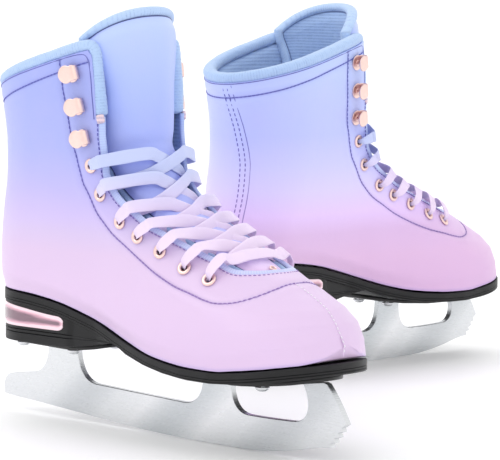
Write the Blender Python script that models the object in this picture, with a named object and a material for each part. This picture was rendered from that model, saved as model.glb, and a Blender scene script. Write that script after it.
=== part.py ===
# Pair of lace-up figure skates.  Metres, +Z up, both blades resting on z = 0.
# The right skate points along +X and the left skate along +Y.  The origin is on the floor,
# under the middle of the pair's bounding box.
import bpy
import bmesh
import math
import numpy as np
from mathutils import Vector

for _o in list(bpy.data.objects):
    bpy.data.objects.remove(_o, do_unlink=True)

MM = 0.001
# ---------------------------------------------------------------- driving dimensions (mm)
GAP = 0.3                    # clearance between touching pieces
RIGHT_TAIL = (-128.14, -197.64)   # right blade tail on the floor
LEFT_TAIL = (-109.14, -39.64)     # left blade tail
LEATHER = 2.2                # upper thickness
PAD = 4.6                    # padded lining thickness
LINE_GAP = 1.7               # foam allowance between leather and lining
BLADE_T = 4.0                # blade thickness
PLATE_T = 2.4                # mounting plate thickness
THROAT_END = 16.0            # section index of the bottom of the throat
WIN_LO, WIN_HI, WIN_FRONT = 59.0, 71.0, 84.0   # clear heel block
TONGUE_HINGE = (139.0, 171.5)                  # forward / up
TOE_SHIFT = -3.0             # toe swings to the inner side

# section rails: back / sole side (A) and front / instep side (B)
A_U = [12, 15, 17, 17, 15, 13, 12, 14, 30, 52, 78, 102, 124, 145, 165, 184, 202, 219, 236, 250, 262, 271,
       276]
A_V = [205, 188, 169, 151, 134, 118, 101, 81.6, 80.8, 79.7, 76.3, 70.6, 64.2, 58.1, 53.9, 51.7, 50.5,
       50.3, 52.0, 53.9, 55.7, 57.1, 59.0]
B_U = [126, 130, 132, 134, 138, 145, 155, 166, 174, 181, 188, 195, 202, 209, 216, 223, 231, 240, 250, 260,
       269, 275.5, 278.3]
B_V = [237, 217, 197, 178, 162, 149, 139, 132, 128.3, 125, 122, 119.3, 116.8, 114.3, 111.6, 108.8, 105.3,
       101.5, 97.2, 92.3, 86.5, 79, 74.5]
TIP = (279.8, 67.5)
NK = len(A_U)

# outsole
TOP_U = [14, 30, 47, 62, 78, 96, 114, 130, 145, 160, 178, 200, 218, 236, 257, 270, 280]
TOP_V = [81, 79.7, 78.8, 77.3, 75, 70.8, 66, 61, 57, 53.6, 51, 49.5, 49.4, 51, 54, 56, 57.4]
BOT_U = [14, 84, 100, 127, 141, 159, 178, 200, 218, 236, 257, 270, 280]
BOT_V = [49, 49, 51, 56, 50.8, 47, 44.4, 43, 42.9, 44, 46.6, 48.6, 50.2]
SOLE_U = [47, 80, 110, 135, 165, 195, 215, 237]
SOLE_W = [31.5, 30, 29, 33, 39.5, 44.5, 45.2, 43.5]
HEEL_R, TOE_R = 31.5, 43.5
SOLE_BACK, SOLE_FRONT = 14.0, 280.0

FOOT_U = [14, 47, 80, 110, 140, 170, 200, 215, 240, 260, 280]
FEATHER = [31, 31, 29.5, 28.5, 33, 40, 44, 44.6, 43, 42, 41]
FOOT_W = [34, 34.5, 33.5, 33, 37, 42.5, 45.6, 46, 44.5, 43, 42]
SHAFT_V = [80, 110, 130, 150, 170, 190, 205, 240]
SHAFT_W = [35, 37.5, 37.5, 37.5, 38.5, 40.5, 42, 44.5]

# slice family used for the half-width field: back height, front point, end lengths, sag share
SL_AV = [81.3, 86, 90, 94, 98, 102, 106, 110, 115, 121, 128, 137, 146, 157, 172, 188, 205, 222]
SL_BU = [280, 280.3, 276.5, 269, 260, 250, 240, 231, 216, 202, 188, 173, 155, 141, 134, 130, 126, 124]
SL_BV = [57, 68, 78.5, 86.5, 92.3, 97.2, 101.5, 105.3, 111.6, 116.8, 122, 128.5, 139, 155, 178, 210, 237,
         256]
SL_LB = [31.5, 32, 33, 34, 35, 36, 37, 38, 40, 42, 43, 44, 45, 46, 48, 50, 52, 54]
SL_LF = [43.5, 46, 52, 62, 78, 92, 95, 92, 80, 62, 48, 36, 26, 23, 23, 26, 30, 32]
SL_SG = [1, .8, .6, .4, .25, .12, 0, 0, 0, 0, 0, 0, 0, 0, 0, 0, 0, 0]

EYE_K = [3.8, 5.0, 6.45, 8.0, 10.1, 12.2, 14.0]   # eyelet sections, top to bottom
EYE_DK = [.25, .26, .34, .47, .52, .48, .45]
EYE_DIST = 12.0                                   # from the flap edge
HOOK_K = [0.85, 1.82, 2.8]
HOOK_DIST = [19.0, 17.5, 15.0]                    # from the flap edge
BINDING_END = 2.3                                 # section index where the plush binding stops


def hermite(x, xs, ys):
    xs = np.asarray(xs, float)
    ys = np.asarray(ys, float)
    x = np.asarray(x, float)
    d = np.diff(ys) / np.diff(xs)
    m = np.zeros_like(ys)
    m[0], m[-1] = d[0], d[-1]
    for i in range(1, len(ys) - 1):
        if d[i - 1] * d[i] > 0:
            h0, h1 = xs[i] - xs[i - 1], xs[i + 1] - xs[i]
            w1, w2 = 2 * h1 + h0, h1 + 2 * h0
            m[i] = (w1 + w2) / (w1 / d[i - 1] + w2 / d[i])
    xc = np.clip(x, xs[0], xs[-1])
    i = np.clip(np.searchsorted(xs, xc, side="right") - 1, 0, len(xs) - 2)
    h = xs[i + 1] - xs[i]
    t = (xc - xs[i]) / h
    return ((2 * t**3 - 3 * t**2 + 1) * ys[i] + (t**3 - 2 * t**2 + t) * h * m[i]
            + (-2 * t**3 + 3 * t**2) * ys[i + 1] + (t**3 - t**2) * h * m[i + 1])


def sm(x):
    x = np.clip(x, 0.0, 1.0)
    return x * x * (3 - 2 * x)


def sole_top(u):
    return hermite(u, TOP_U, TOP_V)


def sole_bot(u):
    return np.interp(u, BOT_U, BOT_V)


def shift(u):
    return TOE_SHIFT * sm((np.asarray(u, float) - 140) / 120)


def width(u, v):
    """Half-width of the boot at a point of its middle plane."""
    u = np.atleast_1d(np.asarray(u, float))
    v = np.atleast_1d(np.asarray(v, float))
    avs, bus, bvs = np.array(SL_AV, float), np.array(SL_BU, float), np.array(SL_BV, float)
    au = hermite(avs, A_V[7::-1], A_U[7::-1])
    lam = np.zeros_like(u)
    for i in range(len(u)):
        f = (u[i] - au) / (bus - au)
        lin = avs + f * (bvs - avs)
        sag = float(sole_top(u[i])) - (81.3 + (u[i] - 14) / 266 * (57 - 81.3))
        lin = lin + np.array(SL_SG) * sag
        lam[i] = np.interp(v[i], lin, np.arange(len(avs)))
    idx = np.arange(len(avs))
    a0, b0 = np.interp(lam, idx, au), np.interp(lam, idx, bus)
    lb, lf = np.interp(lam, idx, SL_LB), np.interp(lam, idx, SL_LF)
    h = v - sole_top(u)
    a = sm(h / 12)
    low = hermite(u, FOOT_U, FEATHER) * (1 - a) + hermite(u, FOOT_U, FOOT_W) * a
    low = low * (1 - 0.12 * sm((h - 15) / 40) * sm((u - 110) / 50))
    sh = hermite(v, SHAFT_V, SHAFT_W) - 4 * sm((u - 70) / 60)
    g = sm((v - 88) / 45) * (1 - sm((u - 118) / 52) * (1 - sm((v - 125) / 25)))
    mid = low * (1 - g) + sh * g
    nf = 2.0 + 0.5 * sm((lam - 10) / 3) + 0.2 * sm((1 - lam))
    xb = np.clip((u - a0) / lb, 0, 1)
    xf = np.clip((b0 - u) / lf, 0, 1)
    rb = np.sqrt(np.clip(1 - (1 - xb) ** 2, 0, 1))
    rf = np.clip(1 - (1 - xf) ** nf, 0, 1) ** (1 / nf)
    return mid * rb * rf


def rails(k, d):
    kk = np.arange(NK)
    a = np.array([hermite(k, kk, A_U), hermite(k, kk, A_V)])
    b = np.array([hermite(k, kk, B_U), hermite(k, kk, B_V)])
    e = 0.05
    b1 = np.array([hermite(min(k + e, NK - 1), kk, B_U), hermite(min(k + e, NK - 1), kk, B_V)])
    b0 = np.array([hermite(max(k - e, 0), kk, B_U), hermite(max(k - e, 0), kk, B_V)])
    t = b1 - b0
    t = t / np.linalg.norm(t)
    nb = np.array([t[1], -t[0]])
    na = np.array([1.0 - sm(k - 7.0), sm(k - 6.0)])
    ramp = float(sm((k - 17.5) / 4))
    ai = a + d * na + np.array([-d * ramp, 0])
    bi = b + d * nb
    return a, b, ai, bi


_cache = {}


def section(k, d):
    """Half section from the front middle line round to the middle of the sole: (u, m, v)."""
    key = (round(float(k), 4), round(float(d), 3))
    if key in _cache:
        return _cache[key]
    a, b, ai, bi = rails(k, d)
    al = np.linspace(0, math.pi, 121)
    s = (1 + np.cos(al)) / 2
    p = a[None] + s[:, None] * (b - a)[None]
    w = width(p[:, 0], p[:, 1])
    if k <= 7.0:
        w[-1] = 0.0
    w[0] = 0.0
    wm = w.max()
    w = w * (wm - d) / wm
    q = ai[None] + s[:, None] * (bi - ai)[None]
    pts = np.stack([q[:, 0], w, q[:, 1]], 1)
    nb = 5
    base = np.stack([np.full(nb, pts[-1, 0]), np.linspace(pts[-1, 1], 0, nb + 1)[1:],
                     np.full(nb, pts[-1, 2])], 1)
    arc = np.concatenate([[0], np.cumsum(np.linalg.norm(np.diff(pts, axis=0), axis=1))])
    _cache[key] = (pts, arc, base)
    return _cache[key]


def at_arc(k, d, s):
    pts, arc, _ = section(k, d)
    s = np.clip(s, 0, arc[-1])
    return np.array([np.interp(s, arc, pts[:, i]) for i in range(3)])


def flap_w(k):
    """Half gap between the flaps at a section."""
    base = hermite(k, [0, 3, 5, 7, 9, 11, 13, 14.5, 15.4, 15.8, 16],
                   [33, 33, 33, 32, 30.5, 28.5, 26, 22.5, 15.5, 9, 0])
    return float(base) if k < THROAT_END else 0.0


def flap_arc(k, d=0.0):
    if k >= THROAT_END:
        return 0.0
    pts, arc, _ = section(k, 0.0)
    i = int(np.argmax(pts[:, 1]))
    w = min(flap_w(k), pts[i, 1] * 0.97)
    s0 = float(np.interp(w, pts[:i + 1, 1], arc[:i + 1]))
    if d > 0:
        s0 *= 1 - d / 45.0
    return s0


def wall_normal(k, s, d=0.0):
    p = at_arc(k, d, s)
    e = at_arc(k, d, s + 1.0) - at_arc(k, d, s - 1.0)
    f0 = at_arc(max(k - .08, 0), d, flap_arc(max(k - .08, 0)) + (s - flap_arc(k)))
    f1 = at_arc(k + .08, d, flap_arc(k + .08) + (s - flap_arc(k)))
    f = f1 - f0
    n = np.cross(e, f)
    n /= np.linalg.norm(n)
    if n[1] < 0:
        n = -n
    return p, n, e / np.linalg.norm(e), -f / np.linalg.norm(f)


# ---------------------------------------------------------------- materials
def mat(name, rgb, rough, metal=0.0, alpha=1.0):
    m = bpy.data.materials.new(name)
    m.use_nodes = True
    b = m.node_tree.nodes["Principled BSDF"]
    b.inputs["Base Color"].default_value = (rgb[0], rgb[1], rgb[2], 1)
    b.inputs["Roughness"].default_value = rough
    b.inputs["Metallic"].default_value = metal
    b.inputs["Alpha"].default_value = alpha
    m.diffuse_color = (rgb[0], rgb[1], rgb[2], alpha)
    return m


COL = {
    "upper": ((0.62, 0.55, 0.86), 0.45, 0.0), "lining": ((0.42, 0.56, 0.80), 0.9, 0.0),
    "binding": ((0.45, 0.60, 0.82), 0.95, 0.0), "tongue": ((0.47, 0.50, 0.90), 0.5, 0.0),
    "insole": ((0.50, 0.58, 0.78), 0.9, 0.0), "outsole": ((0.02, 0.02, 0.022), 0.55, 0.0),
    "window": ((0.85, 0.35, 0.42), 0.15, 0.0), "plate": ((0.05, 0.05, 0.055), 0.4, 0.6),
    "blade": ((0.72, 0.73, 0.75), 0.3, 1.0), "lace": ((0.70, 0.58, 0.86), 0.8, 0.0),
    "gold": ((0.86, 0.66, 0.58), 0.3, 1.0), "screw": ((0.75, 0.76, 0.78), 0.25, 1.0),
}
empties = {}
for side in ("right", "left"):
    e = bpy.data.objects.new("skate_" + side, None)
    bpy.context.scene.collection.objects.link(e)
    tail = LEFT_TAIL if side == "left" else RIGHT_TAIL
    e.location = (tail[0] * MM, tail[1] * MM, 0)
    if side == "left":
        e.rotation_euler = (0, 0, math.pi / 2)
    empties[side] = e


def node(side, name, verts, faces, kind, origin=(0.0, 0.0, 0.0), smooth=True, weld=1e-5):
    """verts in mm as (forward, outer side, up); the right skate is the mirror of the left."""
    sg = 1.0 if side == "left" else -1.0
    me = bpy.data.meshes.new(side[0] + "_" + name)
    vs = [((v[0] - origin[0]) * MM, sg * (v[1] - origin[1]) * MM, (v[2] - origin[2]) * MM) for v in verts]
    me.from_pydata(vs, [], [tuple(int(i) for i in f) for f in faces])
    bm = bmesh.new()
    bm.from_mesh(me)
    bmesh.ops.remove_doubles(bm, verts=bm.verts, dist=weld)
    bmesh.ops.dissolve_degenerate(bm, edges=bm.edges, dist=1e-7)
    bmesh.ops.triangulate(bm, faces=[f for f in bm.faces if len(f.verts) > 4])
    bmesh.ops.recalc_face_normals(bm, faces=bm.faces)
    if bm.calc_volume(signed=True) < 0:
        bmesh.ops.reverse_faces(bm, faces=bm.faces)
    bm.to_mesh(me)
    bm.free()
    for p in me.polygons:
        p.use_smooth = smooth
    ob = bpy.data.objects.new(side[0] + "_" + name, me)
    bpy.context.scene.collection.objects.link(ob)
    c = COL[kind]
    me.materials.append(mat(side[0] + "_" + name + "_mat", *c))
    ob.parent = empties[side]
    ob.location = (origin[0] * MM, sg * origin[1] * MM, origin[2] * MM)
    return ob


def cutter(side, name, verts, faces, targets):
    ob = node(side, name, verts, faces, "screw", smooth=False)
    ob.hide_render = True
    ob.display_type = "WIRE"
    for t in targets:
        md = t.modifiers.new(name, "BOOLEAN")
        md.operation = "DIFFERENCE"
        md.solver = "EXACT"
        md.object = ob
    return ob


# ---------------------------------------------------------------- shells
def shell(rows, setback, dist_cols, n_rest, n_base, d0, d1, holes=(), top_drop=0.0):
    """Closed shell between insets d0 and d1. setback(k) is the rim distance from the flap edge."""
    V, F = [], []

    def ring(k, d):
        pts, arc, base = section(k, d)
        s0 = flap_arc(k, d) + setback(k)
        if k >= THROAT_END and setback(k) <= 0:
            s0 = 0.0
        tot = arc[-1]
        ss = [s0 + c for c in dist_cols]
        last = ss[-1]
        rest = np.linspace(last, tot, n_rest + 1)[1:]
        half = [at_arc(k, d, s) for s in list(ss) + list(rest)]
        if d > 0 and d0 == 0.0 and 3.4 < k < 15.3:
            o0 = flap_arc(k) + setback(k)
            for j, c in enumerate(dist_cols):
                p, n, _, _ = wall_normal(k, max(o0 + c, 0.3))
                half[j] = p - n * d
        bw = half[-1]
        for j in range(1, n_base + 1):
            half.append(np.array([bw[0], bw[1] * (1 - j / n_base), bw[2]]))
        out = []
        for p in half:
            out.append((p[0], p[1] + shift(p[0]), p[2]))
        for p in half[-2::-1]:
            out.append((p[0], -p[1] + shift(p[0]), p[2]))
        return out, s0 <= 1e-9

    grids = []
    closed = None
    for d in (d0, d1):
        g = []
        cl = []
        for k in rows:
            r, c = ring(k, d)
            ids = []
            for j, p in enumerate(r):
                if c and j == len(r) - 1:
                    ids.append(ids[0])
                else:
                    V.append(p)
                    ids.append(len(V) - 1)
            g.append(ids)
            cl.append(c)
        grids.append(g)
        closed = cl
    tips = []
    for d in (d0, d1):
        V.append((TIP[0] - d, shift(TIP[0]), TIP[1]))
        tips.append(len(V) - 1)
    nc = len(grids[0][0]) - 1
    nr = len(rows)
    hole = set(holes)
    for gi, g in enumerate(grids):
        for i in range(nr - 1):
            for j in range(nc):
                if (i, j) in hole or (i, nc - 1 - j) in hole:
                    continue
                q = [g[i][j], g[i][j + 1], g[i + 1][j + 1], g[i + 1][j]]
                q2 = []
                for x in q:
                    if x not in q2:
                        q2.append(x)
                if len(q2) >= 3:
                    F.append(q2 if gi == 0 else q2[::-1])
        for j in range(nc):
            a, b = g[-1][j], g[-1][j + 1]
            if a != b:
                F.append([a, b, tips[gi]] if gi == 0 else [b, a, tips[gi]])
    o, n = grids
    for j in range(nc):
        F.append([o[0][j + 1], o[0][j], n[0][j], n[0][j + 1]])
    for i in range(nr - 1):
        if closed[i]:
            continue
        F.append([o[i][0], o[i + 1][0], n[i + 1][0], n[i][0]])
        F.append([o[i + 1][-1], o[i][-1], n[i][-1], n[i + 1][-1]])
    for (i, j) in hole:
        for jj in (j, nc - 1 - j):
            c = [(i, jj), (i, jj + 1), (i + 1, jj + 1), (i + 1, jj)]
            for a in range(4):
                p, q = c[a], c[(a + 1) % 4]
                F.append([o[p[0]][p[1]], o[q[0]][q[1]], n[q[0]][q[1]], n[p[0]][p[1]]])
    return V, F


def loft(rings, caps=True, closed=False):
    V, F = [], []
    n = len(rings[0])
    for r in rings:
        V += [tuple(p) for p in r]
    m = len(rings)
    for i in range(m if closed else m - 1):
        a, b = i * n, ((i + 1) % m) * n
        for j in range(n):
            F.append([a + j, a + (j + 1) % n, b + (j + 1) % n, b + j])
    if caps and not closed:
        F.append(list(range(n))[::-1])
        F.append([(m - 1) * n + j for j in range(n)])
    return V, F


def sole_half(u, inset=0.0):
    w = np.interp(u, SOLE_U, SOLE_W)
    r = HEEL_R
    if u < SOLE_BACK + r:
        x = (SOLE_BACK + r - u) / (r - inset)
        w = (r - inset) * math.sqrt(max(0.0, 1 - x * x))
    elif u > SOLE_FRONT - TOE_R:
        x = (u - (SOLE_FRONT - TOE_R)) / (TOE_R - inset)
        w = (TOE_R - inset) * max(0.0, 1 - abs(x) ** 2.15) ** (1 / 2.15)
    else:
        w = w - inset
    return float(w)


def slab(us, half, top, bot, lean=0.0):
    rings = []
    for u in us:
        w = max(half(u), 0.02)
        c = float(shift(u))
        t, b = float(top(u)), float(bot(u))
        rings.append([(u, c + w, t), (u, c + w - lean, b), (u, c - w + lean, b), (u, c - w, t)])
    return loft(rings)


def prism(profile, m0, m1):
    n = len(profile)
    V = [(p[0], m0, p[1]) for p in profile] + [(p[0], m1, p[1]) for p in profile]
    F = [list(range(n))[::-1], [n + i for i in range(n)]]
    for i in range(n):
        F.append([i, (i + 1) % n, n + (i + 1) % n, n + i])
    return V, F


def arc_pts(cx, cy, r, a0, a1, n):
    return [(cx + r * math.cos(math.radians(a0 + (a1 - a0) * i / n)),
             cy + r * math.sin(math.radians(a0 + (a1 - a0) * i / n))) for i in range(n + 1)]


def cubic(p0, p1, p2, p3, n):
    out = []
    for i in range(n + 1):
        t = i / n
        a = [(1 - t) ** 3, 3 * t * (1 - t) ** 2, 3 * t * t * (1 - t), t ** 3]
        out.append(tuple(sum(a[j] * q[c] for j, q in enumerate((p0, p1, p2, p3))) for c in (0, 1)))
    return out


def blade_profile():
    """Runner outline from the tail round the rocker, picks, toe post, front post and heel post."""
    under = [(0.0, 9.4), (8, 8.6), (30, 7.4), (60, 5.4), (85, 3.6), (108, 2.1), (135, 0.8), (160, 0.15),
             (178, 0.0), (206, 0.0),
             (216, 0.4), (226, 1.2), (237, 2.6), (247, 4.2), (257, 6.4), (266, 8.1)]
    picks = [(274.5, 8.9), (273.6, 11.2), (277.4, 12.2), (276.5, 14.3), (280.0, 15.6), (279.0, 17.8),
             (282.6, 18.9), (281.8, 21.0), (285.4, 23.3)]
    ft = lambda u: float(sole_bot(u)) - 2 * GAP - PLATE_T
    p = under + picks
    p += cubic((285.4, 23.3), (281.5, 31), (276, 38.5), (270.5, ft(268) - 0.6), 4)[1:]
    p += [(268.0, ft(268.0)), (252.0, ft(252.0))]
    p += cubic((252.0, ft(252.0)), (251.5, 31), (253, 20.6), (247.0, 20.6), 6)[1:]
    p += cubic((247.0, 20.6), (230, 20.2), (226, 20.0), (210.5, 20.2), 2)[1:]
    p += cubic((210.5, 20.2), (199, 20.6), (196, 30), (196.5, ft(196.5)), 6)[1:]
    p += [(174.0, ft(174.0))]
    p += cubic((174.0, ft(174.0)), (173.6, 33), (172, 21.6), (158.0, 21.6), 6)[1:]
    p += [(120.0, 22.8), (84.0, 24.0)]
    p += cubic((84.0, 24.0), (73, 24.6), (67.5, 32), (66.8, 46.0), 6)[1:]
    p += [(41.0, 46.0)]
    p += cubic((41.0, 46.0), (40.6, 38), (38.5, 26.6), (27.0, 25.6), 5)[1:]
    p += [(6.0, 22.6), (2.4, 21.6), (0.5, 19.0), (-0.4, 14.0)]
    return p


def tube(path, frames, a, b, n):
    """Oval sweep; frames holds two unit vectors per point."""
    rings = []
    for p, (x, y) in zip(path, frames):
        rings.append([tuple(p + x * a * math.cos(2 * math.pi * j / n) + y * b
                            * math.sin(2 * math.pi * j / n)) for j in range(n)])
    return loft(rings)


def rmf(path):
    P = [np.array(p, float) for p in path]
    T = []
    for i in range(len(P)):
        t = P[min(i + 1, len(P) - 1)] - P[max(i - 1, 0)]
        T.append(t / np.linalg.norm(t))
    x = np.cross(T[0], (0, 0, 1.0))
    if np.linalg.norm(x) < .1:
        x = np.cross(T[0], (0, 1.0, 0))
    x /= np.linalg.norm(x)
    fr = []
    for t in T:
        x = x - t * np.dot(x, t)
        x /= np.linalg.norm(x)
        fr.append((x.copy(), np.cross(t, x)))
    return P, fr


def smooth_path(pts, n):
    P = np.array(pts, float)
    out = []
    for i in range(len(P) - 1):
        p0, p1, p2, p3 = P[max(i - 1, 0)], P[i], P[i + 1], P[min(i + 2, len(P) - 1)]
        for j in range(n):
            t = j / n
            out.append(0.5 * ((2 * p1) + (p2 - p0) * t + (2 * p0 - 5 * p1 + 4 * p2 - p3) * t * t
                              + (3 * p1 - p0 - 3 * p2 + p3) * t ** 3))
    out.append(P[-1])
    return out


# tongue sections in the fan planes: offset from the front rail, depth of bow, half width, thickness
T_K = [0, 2, 4, 5, 6, 7, 9, 11, 13, 15, 16, 17]
T_Q = [-8, -6, -3.5, -1.5, 0.5, 2, 3, 3, 3, 3.2, 3.6, 4.2]
T_A = [41, 41, 36, 30, 23, 18, 14, 12.5, 11, 9.5, 8.5, 7.5]
T_B = [28, 28, 26.4, 25, 24.6, 24.6, 24.2, 23.2, 21.5, 19.5, 17.5, 16]
T_T = [8, 8, 8, 8, 7.5, 7, 6.5, 6, 5.5, 5, 4.5, 4]


def tongue_ring(k, n=8, amax=76):
    a, b, _, _ = rails(k, 0)
    d = (b - a) / np.linalg.norm(b - a)
    q, A, B, T = (float(hermite(k, T_K, z)) for z in (T_Q, T_A, T_B, T_T))
    out = []
    th = np.radians(np.linspace(-amax, amax, n + 1))
    outer = [(b[0] - d[0] * (q + A * (1 - math.cos(t))), B * math.sin(t) + float(shift(b[0])), b[1]
              - d[1] * (q + A * (1 - math.cos(t)))) for t in th]
    inner = [(b[0] - d[0] * (q + T + (A - T * .6) * (1 - math.cos(t))), (B - T * .55) * math.sin(t)
              + float(shift(b[0])),
              b[1] - d[1] * (q + T + (A - T * .6) * (1 - math.cos(t)))) for t in th[::-1]]
    return outer + inner


def tongue_upper_rings():
    """Free part above the top lace: front line and level, leaning slightly forward."""
    rows = [(136.2, 172.0), (137, 182), (137.3, 195), (137.2, 208), (136.6, 221), (135.6, 232),
            (134.4, 241), (133.4, 246.5), (132.6, 249.5)]
    rings = []
    for (uf, vf) in rows:
        n = 10
        th = np.radians(np.linspace(-76, 76, n + 1))
        T = 8.0 if vf < 245 else (6.5 if vf < 248 else 4.0)
        ins = (8.0 - T) / 2
        A, B = 41.0 - ins, 28.0 - ins
        drop = 15.0 * sm((vf - 222) / 28)
        o = [(uf - ins - A * (1 - math.cos(t)), B * math.sin(t), vf - drop * abs(t / th[-1]) ** 2.4
              - (A * (1 - math.cos(t))) * 0.22) for t in th]
        i = [(uf - ins - T - (A - T * .6) * (1 - math.cos(t)), (B - T * .55) * math.sin(t),
              vf - drop * abs(t / th[-1]) ** 2.4 - (A * (1 - math.cos(t))) * 0.22) for t in th[::-1]]
        rings.append(o + i)
    return rings


def screw(u, m, v_plate):
    """Pan-head screw pointing up; v_plate is the underside of its plate."""
    prof = [(0.0, -2.8), (4.0, -2.0), (4.0, -GAP - 0.7), (1.8, -GAP - 0.7), (1.8, 8.6), (0.0, 10.2)]
    n = 8
    V, F = [], []
    rings = []
    for r, h in prof[1:-1]:
        rings.append([(u + r * math.cos(2 * math.pi * j / n), m + r * math.sin(2 * math.pi * j / n),
                       v_plate + h) for j in range(n)])
    V, F = loft(rings, caps=False)
    V.append((u, m, v_plate + prof[0][1]))
    V.append((u, m, v_plate + prof[-1][1]))
    a, b = len(V) - 2, len(V) - 1
    L = (len(rings) - 1) * n
    for j in range(n):
        F.append([a, (j + 1) % n, j])
        F.append([b, L + j, L + (j + 1) % n])
    return V, F


def joined(parts):
    V, F = [], []
    for v, f in parts:
        o = len(V)
        V += list(v)
        F += [[i + o for i in x] for x in f]
    return V, F


def cyl(u, m, v0, v1, r, n=6):
    rings = [[(u + r * math.cos(2 * math.pi * j / n), m + r * math.sin(2 * math.pi * j / n), v)
              for j in range(n)] for v in (v0, v1)]
    return loft(rings)


HEEL_SCREWS = [(31, 13.5), (31, -13.5), (80, 17), (80, -17)]
SOLE_SCREWS = [(170, 13), (170, -14), (236, 18), (236, -20)]


def build(side):
    # blade
    V, F = prism(blade_profile(), -BLADE_T / 2, BLADE_T / 2)
    node(side, "blade", V, F, "blade", smooth=False)
    # outsole with a slot for the clear heel block
    us = [14.0, 15.5, 19, 26, 36, 47, 62, 78, 84, 96, 108, 118, 127, 141, 159, 178, 200, 218, 236, 248,
          258, 267, 273.5, 277.6, 279.5, 280.0]
    V, F = slab(us, sole_half, sole_top, sole_bot)
    out = node(side, "outsole", V, F, "outsole")
    win = [(-5, WIN_LO), (WIN_FRONT - 5, WIN_LO)] + arc_pts(WIN_FRONT - 5, WIN_LO + 6, 6, -90, 90,
                                                            6)[1:-1] + [(WIN_FRONT - 5, WIN_HI),
                                                                    (-5, WIN_HI)]
    cV, cF = prism(win, -60, 60)
    cutter(side, "cut_window", cV, cF, [out])
    wu = [15.2, 17, 21, 28, 38, 48, 62, 76, 80]
    lo, hi = WIN_LO + GAP, WIN_HI - GAP
    mid = (lo + hi) / 2
    rings = []
    for u in wu:
        w = max(sole_half(u, 1.2) if u > 15.3 else 0.02, 0.02)
        hh = (hi - lo) / 2
        rings.append([(u, w, mid + hh), (u, w, mid - hh), (u, -w, mid - hh), (u, -w, mid + hh)])
    for a in (30, 60, 85):
        u = 79.0 + (5.0 - GAP) * math.sin(math.radians(a))
        hh = max((hi - lo) / 2 * math.cos(math.radians(a)), 0.4)
        if u > 80.2:
            w = sole_half(u, 1.2)
            rings.append([(u, w, mid + hh), (u, w, mid - hh), (u, -w, mid - hh), (u, -w, mid + hh)])
    V, F = loft(rings)
    node(side, "heel_window", V, F, "window", smooth=False)
    # mounting plates
    def hp_half(u):
        if u < 36:
            x = (36 - u) / 14.0
            return 19 * math.sqrt(max(0, 1 - x * x))
        if u > 90:
            x = (u - 90) / 18.0
            return 8 + 14 * math.sqrt(max(0, 1 - x * x))
        return 19 + 3 * min(1, (u - 36) / 40)
    hpt = lambda u: float(sole_bot(u)) - GAP
    V, F = slab([22.2, 24, 29, 36, 55, 76, 84, 90, 96, 100, 104, 107.5], hp_half, hpt, lambda u: hpt(u)
                - PLATE_T)
    V = [(p[0], p[1] - float(shift(p[0])), p[2]) for p in V]
    hp = node(side, "heel_plate", V, F, "plate", smooth=False)
    def sp_half(u):
        if u > 246:
            x = (u - 246) / 24.0
            return 24 * max(0, 1 - x ** 2) ** .5
        return float(np.interp(u, [152, 158, 200, 225, 246], [11, 17, 25, 27, 24]))
    V, F = slab([152, 158, 165, 178, 190, 200, 209, 218, 227, 236, 246, 257, 264, 268, 269.8], sp_half,
                hpt, lambda u: hpt(u) - PLATE_T)
    sp = node(side, "sole_plate", V, F, "plate", smooth=False)
    holes = []
    for i, (u, m) in enumerate(HEEL_SCREWS):
        vp = hpt(u) - PLATE_T
        V, F = screw(u, m, vp)
        node(side, "heel_screw_%d" % (i + 1), V, F, "screw")
        holes.append(cyl(u, m, vp - 4, vp + 10.6, 2.3))
    for i, (u, m) in enumerate(SOLE_SCREWS):
        vp = hpt(u) - PLATE_T
        V, F = screw(u, m, vp)
        V = [(p[0], p[1], p[2] if p[2] < vp + 5 else vp + 5 + (p[2] - vp - 5) * .4) for p in V]
        node(side, "sole_screw_%d" % (i + 1), V, F, "screw")
        holes.append(cyl(u, m, vp - 4, vp + 7.5, 2.3))
    cV, cF = joined(holes)
    cutter(side, "cut_screws", cV, cF, [hp, sp, out])
    # upper
    rows = [0.38, 0.8, 1.5, BINDING_END, 2.45, 3.0]
    hrows = []
    for k, dk in zip(EYE_K, EYE_DK):
        rows += [k - dk, k + dk]
    rows += [7.0, 9.0, 11.1, 13.15, 15.0, 15.4, 15.8, 16.0, 17.0, 18.0, 19.0, 20.0, 21.0, 22.0]
    rows = sorted(set(round(r, 4) for r in rows))
    for k, dk in zip(EYE_K, EYE_DK):
        hrows.append((rows.index(round(k - dk, 4)), 1))
    sb_u = lambda k: 0.0 if k > BINDING_END else (10.0 if k < 0.4 else 6.6)
    V, F = shell(rows, sb_u, (0.0, EYE_DIST - 3.7, EYE_DIST + 3.7), 6, 1, 0.0, LEATHER, holes=hrows)
    node(side, "upper", V, F, "upper")
    # padded lining, stopping behind the eyelets
    def sb_l(k):
        if k < 3.25:
            return 10.5 if k < 0.4 else 6.8
        if k < 16:
            return 19.5
        return max(0.0, 19.5 * (1 - (k - 16) / 2.4)) if k < 18.4 else 0.0
    rows = [0.38, 0.8, 1.6, 2.4, 3.2, 3.5, 4.6, 5.8, 7.0, 8.2, 9.6, 11, 12.5, 14, 15.2, 16.0, 16.8, 17.7,
            18.4, 19.0, 19.8, 20.6, 21.3]
    V, F = shell(rows, sb_l, (0.0,), 5, 1, LEATHER + LINE_GAP, LEATHER + LINE_GAP + PAD)
    node(side, "lining", V, F, "lining")
    # footbed
    ins = LEATHER + LINE_GAP + PAD + GAP + 2.9
    V, F = slab([27, 29, 34, 42, 52, 66, 80, 96, 112, 128, 145, 162, 180, 200, 218, 232, 243, 252, 258,
                 261.5],
                lambda u: max(0.5, sole_half_in(u)), lambda u: sole_top(u) + ins + 3.5,
                lambda u: sole_top(u) + ins)
    node(side, "insole", V, F, "insole")
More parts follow.
